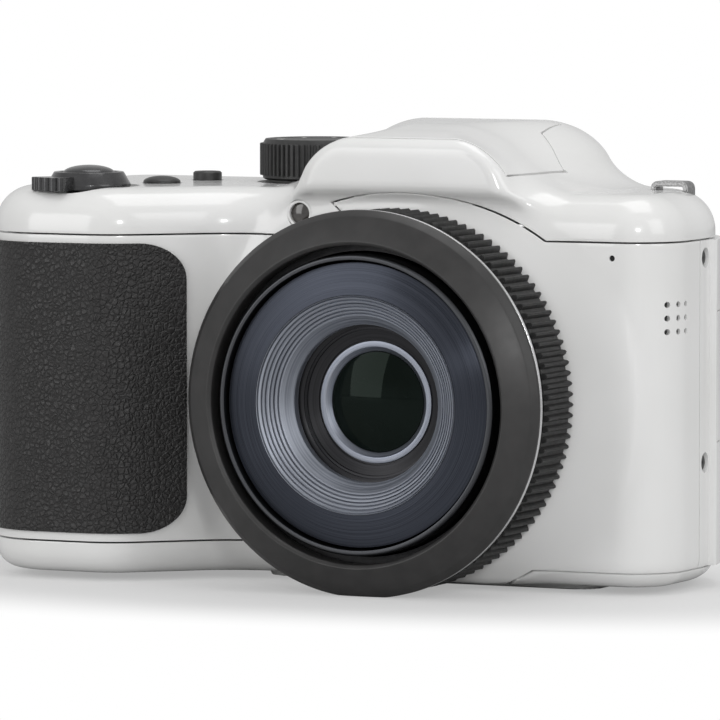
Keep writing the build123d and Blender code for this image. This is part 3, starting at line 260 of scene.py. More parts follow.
def trim(cut, field, halvings=18, nearest=0.002, hair=1e-5):
    # Cut a surface along the line where a field is zero and drop its positive side.
    cut.verts.index_update()
    cut.verts.ensure_lookup_table()
    place = np.array([v.co for v in cut.verts])
    value = field(place)
    value[np.abs(value) < hair] = -hair
    ends = np.array([(e.verts[0].index, e.verts[1].index) for e in cut.edges])
    cross = np.nonzero((value[ends[:, 0]] < 0) != (value[ends[:, 1]] < 0))[0]
    if len(cross):
        a, b = place[ends[cross, 0]], place[ends[cross, 1]]
        starts_in = value[ends[cross, 0]] < 0
        low, high = np.zeros(len(cross)), np.ones(len(cross))
        for _ in range(halvings):
            middle = (low + high) / 2
            same = (field(a + (b - a) * middle[:, None]) < 0) == starts_in
            low, high = np.where(same, middle, low), np.where(same, high, middle)
        cut.edges.ensure_lookup_table()
        edges = [cut.edges[i] for i in cross]
        fresh, touched = set(), set()
        for edge, share in zip(edges, low):
            touched.update(edge.link_faces)
            share = float(min(max(share, nearest), 1 - nearest))
            fresh.add(bmesh.utils.edge_split(edge, edge.verts[0], share)[1])
        for face in touched:
            marks = [v for v in face.verts if v in fresh]
            if len(marks) >= 2:
                bmesh.utils.face_split(face, marks[0], marks[1])
    faces = list(cut.faces)
    centres = np.array([f.calc_center_median() for f in faces])
    gone = [f for f, v in zip(faces, field(centres)) if v > 0]
    bmesh.ops.delete(cut, geom=gone, context="FACES")


def mesh_of(name, solid):
    # Turn an edited solid into a mesh and let the solid go.
    mesh = bpy.data.meshes.new(name)
    solid.to_mesh(mesh)
    solid.free()
    return mesh


def shade(mesh, crease=42):
    # Smooth shading, with a crease at every edge sharper than the angle.
    mesh.shade_smooth()
    mesh.set_sharp_from_angle(angle=radians(crease))


def placed(name, data):
    # A mesh, light or camera put in the scene as an object.
    piece = bpy.data.objects.new(name, data)
    bpy.context.scene.collection.objects.link(piece)
    return piece


def shell_object(name, cut, thickness, edge_round=0.12, edge_angle=55):
    # A wall of even thickness under the surface, with its rim softly rounded.
    mesh = mesh_of(name, cut)
    mesh.transform(Matrix.Scale(mm, 4))
    piece = placed(name, mesh)
    wall = piece.modifiers.new("wall", "SOLIDIFY")
    wall.thickness = thickness * mm
    wall.offset = -1
    wall.use_even_offset = False
    rim = piece.modifiers.new("rim", "BEVEL")
    rim.width = edge_round * mm
    rim.segments = 2
    rim.limit_method = "ANGLE"
    rim.angle_limit = radians(edge_angle)
    return settle(piece)


def settle(piece):
    # Apply a piece's modifiers and shade it smooth, with creases kept.
    graph = bpy.context.evaluated_depsgraph_get()
    mesh = bpy.data.meshes.new_from_object(piece.evaluated_get(graph))
    piece.modifiers.clear()
    old = piece.data
    piece.data = mesh
    mesh.name = piece.name
    if old.users == 0:
        bpy.data.meshes.remove(old)
    shade(mesh)
    return piece


def wire(tree, kind, settings=None, **sockets):
    # Lay one shader or geometry node, set its options and feed its sockets.
    node = tree.nodes.new(kind)
    for key, value in (settings or {}).items():
        setattr(node, key, value)
    for key, value in sockets.items():
        by_number = key[0] == "n" and key[1:].isdigit()
        slot = node.inputs[int(key[1:]) if by_number else key.replace("_", " ")]
        if isinstance(value, bpy.types.NodeSocket):
            tree.links.new(value, slot)
        else:
            slot.default_value = value
    return node


def finish_named(name):
    # A new finish: its tree, its surface shader and its place on the piece.
    finish = bpy.data.materials.new(name)
    finish.use_nodes = True
    tree = finish.node_tree
    surface = tree.nodes["Principled BSDF"]
    place = tree.nodes.new("ShaderNodeTexCoord").outputs["Object"]
    return finish, tree, surface, place


def speckle(tree, place, size, detail=2.0):
    # Fine irregular pattern whose grains are about the given size in millimetres.
    noise = wire(tree, "ShaderNodeTexNoise", Vector=place, Scale=1 / (size * mm), Detail=detail)
    return noise.outputs["Fac"]


def between(tree, value, low, high, start=0.3, end=0.7):
    # A number that follows a pattern between two limits.
    return wire(tree, "ShaderNodeMapRange", Value=value, From_Min=start, From_Max=end, To_Min=low,
                To_Max=high).outputs["Result"]


def tinted(tree, value, dark, light):
    # A colour that follows a pattern between two tones.
    ramp = wire(tree, "ShaderNodeValToRGB", Fac=value)
    ramp.color_ramp.elements[0].position, ramp.color_ramp.elements[1].position = 0.35, 0.65
    ramp.color_ramp.elements[0].color = (*dark, 1)
    ramp.color_ramp.elements[1].color = (*light, 1)
    return ramp.outputs["Color"]


def relief(tree, surface, height, depth, strength=1.0):
    # Raise a pattern out of the surface by a depth in millimetres.
    bump = wire(tree, "ShaderNodeBump", Height=height, Distance=depth * mm, Strength=strength)
    tree.links.new(bump.outputs["Normal"], surface.inputs["Normal"])


# Gloss-white moulding: faint flow in the colour and the slight orange peel of a clear coat
white_gloss, tree, surface, place = finish_named("gloss white moulding")
flow = speckle(tree, place, 22.0)
tree.links.new(tinted(tree, flow, (0.80, 0.80, 0.79), (0.84, 0.84, 0.835)), surface.inputs["Base Color"])
tree.links.new(between(tree, speckle(tree, place, 4.0), 0.17, 0.23), surface.inputs["Roughness"])
surface.inputs["Coat Weight"].default_value = 0.55
surface.inputs["Coat Roughness"].default_value = 0.06
relief(tree, surface, speckle(tree, place, 1.6, 3.0), 0.01, 0.10)


def dressed(piece, finish, body, *nodes, slot_name=None):
    # Give a piece its finish, its CAD body and the nodes it stands for.
    if finish.name not in [m.name for m in piece.data.materials if m]:
        piece.data.materials.clear()
        piece.data.materials.append(finish)
    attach(piece, body)
    if nodes:
        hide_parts(*nodes)


def round_hole(axis, a, b, radius, far=None):
    # Positive inside a drilled hole; far limits it to one side of the body.
    others = [n for n in range(3) if n != axis]

    def hole(p):
        depth = radius - np.hypot(p[:, others[0]] - a, p[:, others[1]] - b)
        return depth if far is None else np.minimum(depth, far(p))

    return hole


def drill(cut, holes, clear=0.9, times=2):
    # Refine the surface round each hole's rim, then cut it.
    for hole in holes:
        for pass_number in range(times):
            place = np.array([v.co for v in cut.verts])
            near = set(np.nonzero(np.abs(hole(place)) < clear / (1 + pass_number))[0].tolist())
            cut.verts.index_update()
            edges = [e for e in cut.edges if e.verts[0].index in near and e.verts[1].index in near]
            bmesh.ops.subdivide_edges(cut, edges=edges, cuts=1, use_grid_fill=True)
        trim(cut, hole)


# THE DECK MOULDING
# The top cover: it holds the deck's controls and rises into the flash housing. Its edge meets
# the front along a level seam, which climbs over the lens collar's oval beside the focus lamp.
oval_half_x, oval_half_z = 39.5, 33.2
fairing_root = -15.0
side_seam = -7.0
top_seam, grip_foot, body_foot, foot_step = 57.0, 6.5, 3.6, -18.0
lamp_x, lamp_z, lamp_boss, lamp_bore, lamp_gap = -19.3, 60.5, 3.2, 2.3, 0.3
slant_x, slant_z, slant_across, slant_up = -14.4, 63.4, 0.6, 0.8


def slant(p):
    # Positive above the short seam that runs from the brow down behind the lens ring.
    return slant_across * (p[:, 0] - slant_x) + slant_up * (p[:, 2] - slant_z)


def oval(p, grow):
    # Negative inside the collar's oval, in front of its root.
    x, y, z = part(p)
    u, v = x / (oval_half_x + grow), (z - lens_z) / (oval_half_z + grow)
    one = np.sqrt(u * u + v * v) + 1e-9
    two = np.sqrt((u / oval_half_x) ** 2 + (v / oval_half_z) ** 2) + 1e-9
    return np.maximum(one * (one - 1) / two, y - fairing_root)


def foot_line(p):
    return np.where(p[:, 0] < foot_step, grip_foot, body_foot)


# The flash lid's outline on the housing: cheeks at the front, a tongue to the hinge, and
# between them a stretch over which the sides draw in and the foot climbs
lid_hinge_y, lid_hinge_z = 6.0, 72.88
lid_tongue, lid_foot, lid_tongue_foot, lid_reach, lid_barrel = 14.0, 67.6, 70.0, 29.0, 2.6
lid_cheek_back, lid_draw, lid_climb = -4.0, 1.5, 0.6


def lid_region(p, grow):
    x, y, z = part(p)
    cheeks = np.maximum(lid_foot - grow - z, y - lid_cheek_back - grow)
    ahead = np.clip(-y, 0, -lid_cheek_back)
    tongue = np.maximum.reduce([np.abs(x) - lid_tongue - lid_draw * ahead - grow,
                                lid_tongue_foot - lid_climb * ahead - grow - z, y - lid_hinge_y])
    swing = np.hypot(y - lid_hinge_y, z - lid_hinge_z)
    lifts = np.maximum(np.minimum(cheeks, tongue), swing - lid_reach - grow)
    barrel = np.maximum(swing - lid_barrel - grow, np.abs(x) - lid_tongue - grow)
    return np.minimum(lifts, barrel)


grid_step = 0.62
master = skin_of(body_field, (-75, -38, -1), (47.5, 22, 79), grid_step)
lever_x, lever_y, lever_well = -56.5, -25.0, 8.4
dial_x, dial_y, dial_well = -28.5, 3.5, 10.0
burst_x, burst_y, burst_r = -49.6, -12.0, 3.1
power_x, power_y, power_r = -47.4, 0.5, 2.4
key_gap = 0.25
lug_y, lug_bar, lug_slot_half, lug_slot_reach = 2.0, 0.9, 0.5, 2.05
deck_lug_legs, side_lug_legs = (33.5, 39.2), (47.0, 52.7)
upper, forward, leftward, rightward = 60.0, -15.0, -60.0, 30.0


def from_lamp(p):
    return np.hypot(p[:, 0] - lamp_x, p[:, 2] - lamp_z)


def lug_slot(axis, start, side):
    # Positive in the slot that one leg of a strap lug passes through.
    return lambda p: np.minimum.reduce([lug_slot_half - np.abs(p[:, axis] - start - lug_bar / 2),
                                        lug_slot_reach - np.abs(p[:, 1] - lug_y), side(p)])


deck = open_mesh(*master)
trim(deck, lambda p: top_seam + seam / 2 - p[:, 2])
trim(deck, lambda p: np.minimum.reduce([-oval(p, seam), from_lamp(p) - lamp_boss, slant(p) + seam / 2]))
trim(deck, lambda p: -lid_region(p, seam))
drill(deck, [round_hole(2, x, y, r, lambda p: p[:, 2] - upper) for x, y, r in
             ((lever_x, lever_y, lever_well), (dial_x, dial_y, dial_well),
              (burst_x, burst_y, burst_r + key_gap), (power_x, power_y, power_r + key_gap))], times=1)
drill(deck, [round_hole(1, lamp_x, lamp_z, lamp_bore, lambda p: forward - p[:, 1])], times=1)
for start in deck_lug_legs:
    trim(deck, lug_slot(0, start, lambda p: p[:, 2] - upper))
deck = shell_object("deck_moulding", deck, shell_wall)
dressed(deck, white_gloss, "body", "top_cover", slot_name="white_shell")


# THE FRONT MOULDING
# The grip's front, the right front and the flared collar round the lens in one piece. Nine
# small holes let the speaker's sound out of its side, and one lets sound in to the microphone.
collar_bore, boss_depth = 28.3, -13.0
speaker_rows, speaker_columns, sound_hole = (42.6, 44.8, 47.0), (-17.2, -15.0, -12.8), 0.5
mic_x, mic_z = 36.3, 54.5


def right_side(p):
    return p[:, 0] - rightward


front = open_mesh(*master)
trim(front, lambda p: p[:, 1] - side_seam + seam / 2)
trim(front, lambda p: np.minimum(p[:, 2] - top_seam + seam / 2,
                                 np.maximum(oval(p, 0.0), seam / 2 - slant(p))))
trim(front, lambda p: np.minimum(lamp_boss + lamp_gap - from_lamp(p), boss_depth - p[:, 1]))
trim(front, lambda p: np.minimum(foot_line(p) + seam / 2 - p[:, 2], oval(p, 0.0)))
trim(front, lambda p: np.minimum(collar_bore - np.hypot(p[:, 0], p[:, 2] - lens_z),
                                 fairing_root - p[:, 1]))
drill(front, [round_hole(0, y, z, sound_hole, right_side) for y in speaker_columns for z in speaker_rows])
drill(front, [round_hole(1, mic_x, mic_z, sound_hole, lambda p: forward - p[:, 1])])
front = shell_object("front_moulding", front, shell_wall)
dressed(front, white_gloss, "body", "front_shell", slot_name="white_shell")


# THE FLASH LID
# The housing's lifting top, moulded in the same white and pinned at the back of the housing.
# Its hinge barrel and ribs follow under THE FLASH.
lid_wall = 1.5
lid = open_mesh(*master)
trim(lid, lambda p: lid_region(p, 0.0))
lid = shell_object("flash_lid_moulding", lid, lid_wall)
dressed(lid, white_gloss, "flash", slot_name="white_shell")


# THE BACK MOULDING
# The back cover stands a millimetre proud of the front behind the side seam, carries the
# screen's housing, and has holes for the keys, the pad, two screws and the left lug.
proud, proud_start, proud_run = 1.0, -2.3, 0.5
screen_x, screen_z, screen_half_x, screen_half_z, screen_face = -7.5, 31.3, 32.5, 23.3, 23.8
screen_border, screen_floor, housing_root, housing_corner, housing_edge = 2.0, 23.2, 8.0, 3.0, 0.9
side_screw_y, side_screw_heights, screw_bore = -4.6, (20.7, 54.0), 1.65


def back_field(p):
    x, y, z = part(p)
    step = np.clip((y - proud_start) / proud_run, 0, 1)
    grow = proud * step * step * (3 - 2 * step)
    form = casing_field(x, y, z, grow)
    box = meet(np.abs(x - screen_x) - screen_half_x, np.abs(z - screen_z) - screen_half_z, housing_corner)
    return join(form, meet(meet(box, y - screen_face, housing_edge), housing_root - y, 0.5), 0.6)


# The port flap's outline, about a pin that lies just under the cover at the back right corner
flap_low, flap_high, flap_front, flap_reach = 24.0, 45.0, 1.0, 13.5
flap_ahead, flap_inner, pin_depth = 1.8, 14.0, 1.3
side_x, back_y, side_r = plan_corners[-1]
flap_x = side_x - side_r + sqrt((side_r + proud) ** 2 - (flap_front - back_y + side_r) ** 2) - pin_depth


def flap_region(p, grow):
    x, y, z = part(p)
    swing = np.hypot(x - flap_x, y - flap_front) - flap_reach - grow
    return np.maximum.reduce([swing, flap_low - grow - z, z - flap_high - grow,
                              flap_front - flap_ahead - grow - y, flap_inner - x])


back_master = skin_of(back_field, (-75, -10, 0), (47.8, 24.5, 62), grid_step)
back = open_mesh(*back_master)
trim(back, lambda p: side_seam + seam / 2 - p[:, 1])
trim(back, lambda p: p[:, 2] - top_seam + seam / 2)
trim(back, lambda p: foot_line(p) + seam / 2 - p[:, 2])
trim(back, lambda p: -flap_region(p, seam))
keys = {
    "menu": (-56.5, 43.0), "playback": (-46.0, 43.0), "display": (-56.5, 12.5), "delete": (-46.0, 12.5),
    "record": (-46.5, 51.5),
}
key_r, pad_x, pad_z, pad_r, rearward = 2.4, -51.2, 27.8, 7.4, 12.0


def rear(p):
    return p[:, 1] - rearward


def screen_opening(p):
    # Negative inside the opening for the screen's glass.
    across = np.abs(p[:, 0] - screen_x) - screen_half_x + screen_border
    up = np.abs(p[:, 2] - screen_z) - screen_half_z + screen_border
    return np.maximum(meet(across, up, 1.5), screen_floor - p[:, 1])


drill(back, [round_hole(1, x, z, key_r + key_gap, rear) for x, z in keys.values()], times=1)
drill(back, [round_hole(1, pad_x, pad_z, pad_r + key_gap, rear)], times=1)
drill(back, [round_hole(0, side_screw_y, z, screw_bore, right_side) for z in side_screw_heights])
trim(back, lambda p: -screen_opening(p))
for start in side_lug_legs:
    trim(back, lug_slot(2, start, lambda p: leftward - p[:, 0]))
back = shell_object("back_moulding", back, shell_wall)
dressed(back, white_gloss, "body", "rear_shell", slot_name="white_shell")

# The port flap, a cover of the same plastic cut from the same surface, swings on a pin at its
# front edge
flap = open_mesh(*back_master)
trim(flap, lambda p: flap_region(p, 0.0))
flap = shell_object("port_flap_moulding", flap, cover_wall)
dressed(flap, white_gloss, "flap", "port_flap", slot_name="white_shell")


# THE FOOT MOULDING AND THE CELL DOOR
# The base closes the body from below and carries a raised pad round the tripod thread. The
# door under the grip is cut from the same surface and turns on a pin at its back edge.
pad_half_x, pad_half_y, pad_round, pad_top = 30.0, 14.0, 4.0, 2.5
door_left, door_right, door_front, door_back, door_top = -68.8, -37.5, -25.5, 10.8, 3.5
door_slant_x, door_round = -43.5, 3.0
foot_screws = ((-33.5, -12.0), (-33.5, 12.0), (34.5, -12.0), (34.5, 2.0))
socket_bore, underside = 4.65, 5.0
latch_x, latch_y, latch_half, latch_slot_half, latch_top = -55.15, -20.5, 5.75, 2.05, 4.0


def foot_field(p):
    x, y, z = part(p)
    pad = meet(meet(np.abs(x) - pad_half_x, np.abs(y) - pad_half_y, pad_round), -z, 0.5)
    return join(body_field(p), np.maximum(pad, z - pad_top), 0.3)


def door_region(p, grow):
    x, y, z = part(p)
    cut_off = (x - door_slant_x - y + door_front) / sqrt(2) - grow
    box = meet(door_left - grow - x, door_front - grow - y, door_round)
    return np.maximum.reduce([box, x - door_right - grow, y - door_back - grow, cut_off, z - door_top])


def from_below(p):
    return underside - p[:, 2]


def latch_hole(p):
    return np.minimum.reduce([latch_half - np.abs(p[:, 0] - latch_x),
                              latch_slot_half - np.abs(p[:, 1] - latch_y), latch_top - p[:, 2]])


foot_master = skin_of(foot_field, (-75, -38, -1), (47.5, 22, 9.0), grid_step)
foot = open_mesh(*foot_master)
trim(foot, lambda p: p[:, 2] - foot_line(p) + seam / 2)
trim(foot, lambda p: -oval(p, seam))
trim(foot, lambda p: -door_region(p, seam))
drill(foot, [round_hole(2, x, y, screw_bore, from_below) for x, y in foot_screws], times=1)
drill(foot, [round_hole(2, 0.0, 0.0, socket_bore, from_below)], times=1)
foot = shell_object("foot_moulding", foot, cover_wall)
dressed(foot, white_gloss, "body", "bottom_cover", slot_name="white_shell")

door = open_mesh(*foot_master)
trim(door, lambda p: door_region(p, 0.0))
trim(door, latch_hole)
door = shell_object("cell_door_moulding", door, lid_wall)
dressed(door, white_gloss, "cell_door", slot_name="white_shell")


# THE GRIP'S SKIN
# Black rubber moulded with a leather grain, half a millimetre thick, glued round the front of
# the grip. The grain is pebbles of about a millimetre with fine creases between them.
leather, tree, surface, place = finish_named("grained rubber")
warp = wire(tree, "ShaderNodeTexNoise", Vector=place, Scale=900.0, Detail=2.0)
bent = wire(tree, "ShaderNodeMix", {"data_type": "VECTOR"}, n0=0.0008, n4=place, n5=warp.outputs["Color"])
pebbles = wire(tree, "ShaderNodeTexVoronoi", {"feature": "DISTANCE_TO_EDGE"}, Vector=bent.outputs[1],
               Scale=1150.0, Randomness=1.0)
creases = between(tree, pebbles.outputs["Distance"], 0.0, 1.0, 0.0, 0.22)
folds = speckle(tree, place, 0.9, 5.0)
height = wire(tree, "ShaderNodeMath", {"operation": "MULTIPLY_ADD"}, n0=folds, n1=0.9,
              n2=creases).outputs[0]
# The colour follows the grain's height: random tone from the folds, plus painted shade, darker down in
# the creases between the pebbles
tree.links.new(tinted(tree, height, (0.007, 0.007, 0.007), (0.022, 0.021, 0.021)),
               surface.inputs["Base Color"])
tree.links.new(between(tree, creases, 0.60, 0.36, 0.0, 1.0), surface.inputs["Roughness"])
relief(tree, surface, height, 0.17, 1.0)
skin_low, skin_high, skin_edge, skin_back, skin_round, skin_grow = 8.0, 55.6, -37.0, -8.5, 6.0, 0.5


def skin_patch(p):
    x, y, z = part(p)
    up = np.abs(z - (skin_low + skin_high) / 2) - (skin_high - skin_low) / 2
    flat = meet(up, x - skin_edge, skin_round)
    return np.maximum(flat, y - skin_back)


skin = open_mesh(*skin_of(lambda p: casing_field(*part(p), skin_grow), (-75, -38.2, 6), (-30, -6, 58),
                          0.55))
trim(skin, skin_patch)
skin = shell_object("grip_skin", skin, skin_grow, 0.14)
dressed(skin, leather, "body", "grip_cover", slot_name="grip_skin")


# THE LENS
# Turned and moulded rings about one axis: a satin black front ring, a bright line, a knurled
# rubber ring, and inside them the metal barrels, the ribbed funnel, the cell and the glass.
def finish_of(name, dark, light, size, rough=(0.4, 0.5), metal=0.0, bump=None, coat=0.0, **more):
    # A finish whose tone, roughness and surface follow fine patterns of a size in millimetres.
    finish, tree, surface, place = finish_named(name)
    tree.links.new(tinted(tree, speckle(tree, place, size), dark, light), surface.inputs["Base Color"])
    wear = speckle(tree, place, size * 0.6, 4.0)
    tree.links.new(between(tree, wear, *rough), surface.inputs["Roughness"])
    surface.inputs["Metallic"].default_value = metal
    surface.inputs["Coat Weight"].default_value = coat
    for key, value in more.items():
        surface.inputs[key.replace("_", " ")].default_value = value
    if bump:
        relief(tree, surface, speckle(tree, place, bump[0], 3.0), bump[1], 0.6)
    return finish


def softened(profile, radius):
    # Round every corner of a closed profile with a short arc.
    out = []
    for index, point in enumerate(profile):
        point = np.array(point, float)
        before = np.array(profile[index - 1]) - point
        after = np.array(profile[(index + 1) % len(profile)]) - point
        cut = min(radius, 0.35 * np.hypot(*before), 0.35 * np.hypot(*after))
        a, b = point + before / np.hypot(*before) * cut, point + after / np.hypot(*after) * cut
        for t in (0.0, 0.33, 0.67, 1.0):
            out.append((1 - t) ** 2 * a + 2 * t * (1 - t) * point + t * t * b)
    return np.array(out)


def revolved(name, profile, centre, axis, steps=256, radius=0.12):
    # Spin a closed profile of (place along the axis, radius); the map runs round and along it.
    line = softened(profile, radius) if radius else np.array(profile, float)
    turn = np.arange(steps) * 2 * pi / steps
    along, out = line[:, 0][None], line[:, 1][None]
    flat_a, flat_b = out * np.cos(turn)[:, None], out * np.sin(turn)[:, None]
    spread = np.broadcast_to(along, flat_a.shape)
    order = {"x": (spread, flat_a, flat_b), "y": (flat_a, spread, flat_b), "z": (flat_a, flat_b, spread)}
    points = (np.stack(order[axis], -1).reshape(-1, 3) + np.array(centre)) * mm
    count = len(line)
    one = np.arange(steps)[:, None] * count + np.arange(count)[None]
    two = np.roll(one, -1, 0)
    quads = np.stack([one, np.roll(one, -1, 1), np.roll(two, -1, 1), two], -1).reshape(-1, 4)
    mesh = bpy.data.meshes.new(name)
    mesh.from_pydata(points.tolist(), [], quads.tolist())
    length = np.append(0, np.cumsum(np.hypot(*(np.roll(line, -1, 0) - line).T)))
    u, v = np.meshgrid(np.arange(steps), np.arange(count), indexing="ij")
    corners = np.stack([np.stack([(u + du) / steps, length[v + dv]], -1)
                        for du, dv in ((0, 0), (0, 1), (1, 1), (1, 0))], 2)
    mesh.uv_layers.new(name="turning").data.foreach_set("uv", corners.reshape(-1).astype(np.float32))
    solid = bmesh.new()
    solid.from_mesh(mesh)
    bmesh.ops.recalc_face_normals(solid, faces=solid.faces)
    solid.to_mesh(mesh)
    solid.free()
    shade(mesh, 38)
    return placed(name, mesh)


def lens_turned(name, profile, radius=0.12):
    return revolved(name, profile, (0, 0, lens_z), "y", 288, radius)


def turned_metal(name, dark, light, rough, pull, line=0.25, metal=1.0, depth=0.004):
    # Lathe-cut metal: fine lines round the axis, with highlights pulled across them.
    finish, tree, surface, place = finish_named(name)
    chart = wire(tree, "ShaderNodeUVMap", {"uv_map": "turning"}).outputs["UV"]
    lines = wire(tree, "ShaderNodeVectorMath", {"operation": "MULTIPLY"}, n0=chart,
                 n1=(3.0, 1 / line, 1.0)).outputs[0]
    grain = wire(tree, "ShaderNodeTexNoise", Vector=lines, Scale=1.0, Detail=3.0).outputs["Fac"]
    tree.links.new(tinted(tree, grain, dark, light), surface.inputs["Base Color"])
    tree.links.new(between(tree, grain, *rough), surface.inputs["Roughness"])
    surface.inputs["Metallic"].default_value = metal
    surface.inputs["Anisotropic"].default_value = pull
    surface.inputs["Anisotropic Rotation"].default_value = 0.25
    tangent = wire(tree, "ShaderNodeTangent", {"direction_type": "UV_MAP", "uv_map": "turning"})
    tree.links.new(tangent.outputs[0], surface.inputs["Tangent"])
    relief(tree, surface, grain, depth, 0.5)
    return finish


satin_black = finish_of("satin black ring", (0.024, 0.0235, 0.0235), (0.031, 0.030, 0.030), 3.0,
                        (0.36, 0.42), bump=(0.25, 0.01))
bezel = lens_turned("front_ring", [(-42.0, 26.3), (-39.8, 30.3), (-38.6, 31.3), (-38.1, 31.3),
                                   (-38.1, 25.7), (-41.4, 25.7)], 0.2)
dressed(bezel, satin_black, "body", "lens_bezel", slot_name="satin_black")

polished = turned_metal("polished ring", (0.62, 0.62, 0.63), (0.74, 0.74, 0.75), (0.16, 0.24), 0.4)
bright_line = lens_turned("bright_ring", [(-38.0, 28.3), (-38.0, 31.3), (-37.3, 31.3), (-37.3, 28.3)])
dressed(bright_line, polished, "body", "trim_ring", slot_name="bright_metal")

# The zoom ring: a rubber sleeve whose teeth are one moulded bar repeated round it
rubber = finish_of("ring rubber", (0.020, 0.020, 0.020), (0.030, 0.030, 0.030), 1.2, (0.5, 0.62),
                   bump=(0.3, 0.02))


def round_pattern(name, unit, count, centre, axis, finish):
    # Repeat one small piece round an axis through the centre.
    tree = bpy.data.node_groups.new(name, "GeometryNodeTree")
    sockets = {}
    for label, kind in (("Unit", "Object"), ("Count", "Int"), ("Centre", "Vector"), ("Axis", "Vector"),
                        ("Finish", "Material")):
        kind = "NodeSocket" + kind
        socket = tree.interface.new_socket(label, in_out="INPUT", socket_type=kind)
        sockets[label] = socket.identifier
    tree.interface.new_socket("Geometry", in_out="OUTPUT", socket_type="NodeSocketGeometry")
    feed = tree.nodes.new("NodeGroupInput").outputs
    points = wire(tree, "GeometryNodePoints", Count=feed["Count"], Position=feed["Centre"])
    place = tree.nodes.new("GeometryNodeInputIndex").outputs[0]
    share = wire(tree, "ShaderNodeMath", {"operation": "DIVIDE"}, n0=place, n1=feed["Count"]).outputs[0]
    angle = wire(tree, "ShaderNodeMath", {"operation": "MULTIPLY"}, n0=share, n1=2 * pi).outputs[0]
    swing = wire(tree, "FunctionNodeAxisAngleToRotation", Axis=feed["Axis"], Angle=angle).outputs[0]
    shape = wire(tree, "GeometryNodeObjectInfo", Object=feed["Unit"]).outputs["Geometry"]
    ring = wire(tree, "GeometryNodeInstanceOnPoints", Points=points.outputs[0], Instance=shape,
                Rotation=swing)
    real = wire(tree, "GeometryNodeRealizeInstances", Geometry=ring.outputs[0])
    painted = wire(tree, "GeometryNodeSetMaterial", Geometry=real.outputs[0],
                   Material=feed["Finish"])
    out = tree.nodes.new("NodeGroupOutput")
    tree.links.new(painted.outputs[0], out.inputs[0])
    piece = placed(name, bpy.data.meshes.new(name))
    repeat = piece.modifiers.new("repeat", "NODES")
    repeat.node_group = tree
    for label, value in (("Unit", unit), ("Count", count), ("Centre", tuple(c * mm for c in centre)),
                         ("Axis", axis), ("Finish", finish)):
        repeat[sockets[label]] = value
    settle(piece)
    bpy.data.objects.remove(unit)
    return piece


def bar(name, section, low, high, axis, rounding):
    # A straight bar between two places along an axis, from its section, with rounded edges.
    solid = bmesh.new()
    rings = []
    for place in (low, high):
        spots = [{"y": (a, place, b), "z": (a, b, place), "x": (place, a, b)}[axis] for a, b in section]
        rings.append([solid.verts.new([c * mm for c in spot]) for spot in spots])
    solid.faces.new(rings[0])
    solid.faces.new(rings[1][::-1])
    for k in range(len(section)):
        solid.faces.new((rings[0][k - 1], rings[0][k], rings[1][k], rings[1][k - 1]))
    bmesh.ops.recalc_face_normals(solid, faces=solid.faces)
    if rounding:
        bmesh.ops.bevel(solid, geom=list(solid.edges), offset=rounding * mm, segments=2, affect="EDGES",
                        clamp_overlap=True)
    mesh = mesh_of(name, solid)
    shade(mesh)
    return placed(name, mesh)


def merged(name, *pieces):
    # Several pieces as one, still without a finish.
    solid = bmesh.new()
    for piece in pieces:
        solid.from_mesh(piece.data)
        bpy.data.objects.remove(piece)
    mesh = mesh_of(name, solid)
    shade(mesh)
    return placed(name, mesh)


def tooth_section(tip, depth, teeth):
    step = 2 * pi / teeth
    low = tip - depth
    spots = [(-0.35, low - 0.5), (-0.35, low), (-0.1, tip), (0.1, tip), (0.35, low), (0.35, low - 0.5)]
    return [(r * sin(a * step), r * cos(a * step)) for a, r in spots]


knurl_tip, knurl_depth, knurl_teeth, knurl_front, knurl_back = 31.0, 0.85, 112, -34.1, -24.5
tooth = bar("tooth", tooth_section(knurl_tip, knurl_depth, knurl_teeth), knurl_front, knurl_back, "y",
            0.13)
teeth = round_pattern("ring_teeth", tooth, knurl_teeth, (0, 0, lens_z), (0, 1, 0), rubber)
sleeve = lens_turned("ring_sleeve", [(knurl_front, 28.35), (knurl_front, 30.15), (knurl_back, 30.15),
                                     (knurl_back, 28.35)])
zoom_ring = merged("zoom_ring_rubber", teeth, sleeve)
dressed(zoom_ring, rubber, "lens_ring", "knurled_ring", slot_name="ring_rubber")

# The two barrels, drawn from light alloy: a satin rim round a dark lathe-turned dish
rim_metal = turned_metal("satin barrel rim", (0.055, 0.057, 0.062), (0.085, 0.088, 0.095), (0.28, 0.36),
                         0.3)
outer = lens_turned("outer_barrel_tube", [(-41.5, 23.4), (-41.5, 24.0), (-41.2, 24.3), (-9.5, 24.3),
                                          (-9.5, 23.4)], 0.08)
dressed(outer, rim_metal, "barrel", "outer_barrel", slot_name="grey_metal")
dish_metal = turned_metal("turned dark dish", (0.036, 0.040, 0.051), (0.064, 0.070, 0.088), (0.26, 0.36),
                          0.9, 0.12)
dish = lens_turned("inner_barrel_tube", [(-40.4, 23.0), (-11.0, 23.0), (-11.0, 21.8), (-38.9, 21.8),
                                         (-39.9, 17.7), (-41.4, 17.7)], 0.1)
dressed(dish, dish_metal, "front_group", "inner_barrel", slot_name="dark_metal")

# The funnel: six fine ribs, then a plain ring down to the hole
rib_metal = turned_metal("ribbed grey alloy", (0.24, 0.256, 0.295), (0.42, 0.445, 0.50), (0.42, 0.6), 0.3,
                         0.35)
funnel_face, funnel_r, funnel_depth, funnel_width, funnel_ribs, groove = -41.4, 17.64, 2.4, 3.34, 6, 0.35
funnel = [(funnel_face, funnel_r)]
for rib in range(funnel_ribs):
    for share, drop in ((0.15, 0), (0.15, 1), (0.55, 1), (0.55, 0)):
        run = (rib + share) / funnel_ribs
        funnel.append((funnel_face + funnel_depth * run + groove * drop, funnel_r - funnel_width * run))
funnel += [(-39.0, 14.3), (-37.1, 12.8), (-35.7, 12.8), (-35.7, funnel_r)]
funnel = lens_turned("ribbed_funnel", funnel, 0.05)
dressed(funnel, rib_metal, "front_group", "lens_funnel", slot_name="grey_metal")

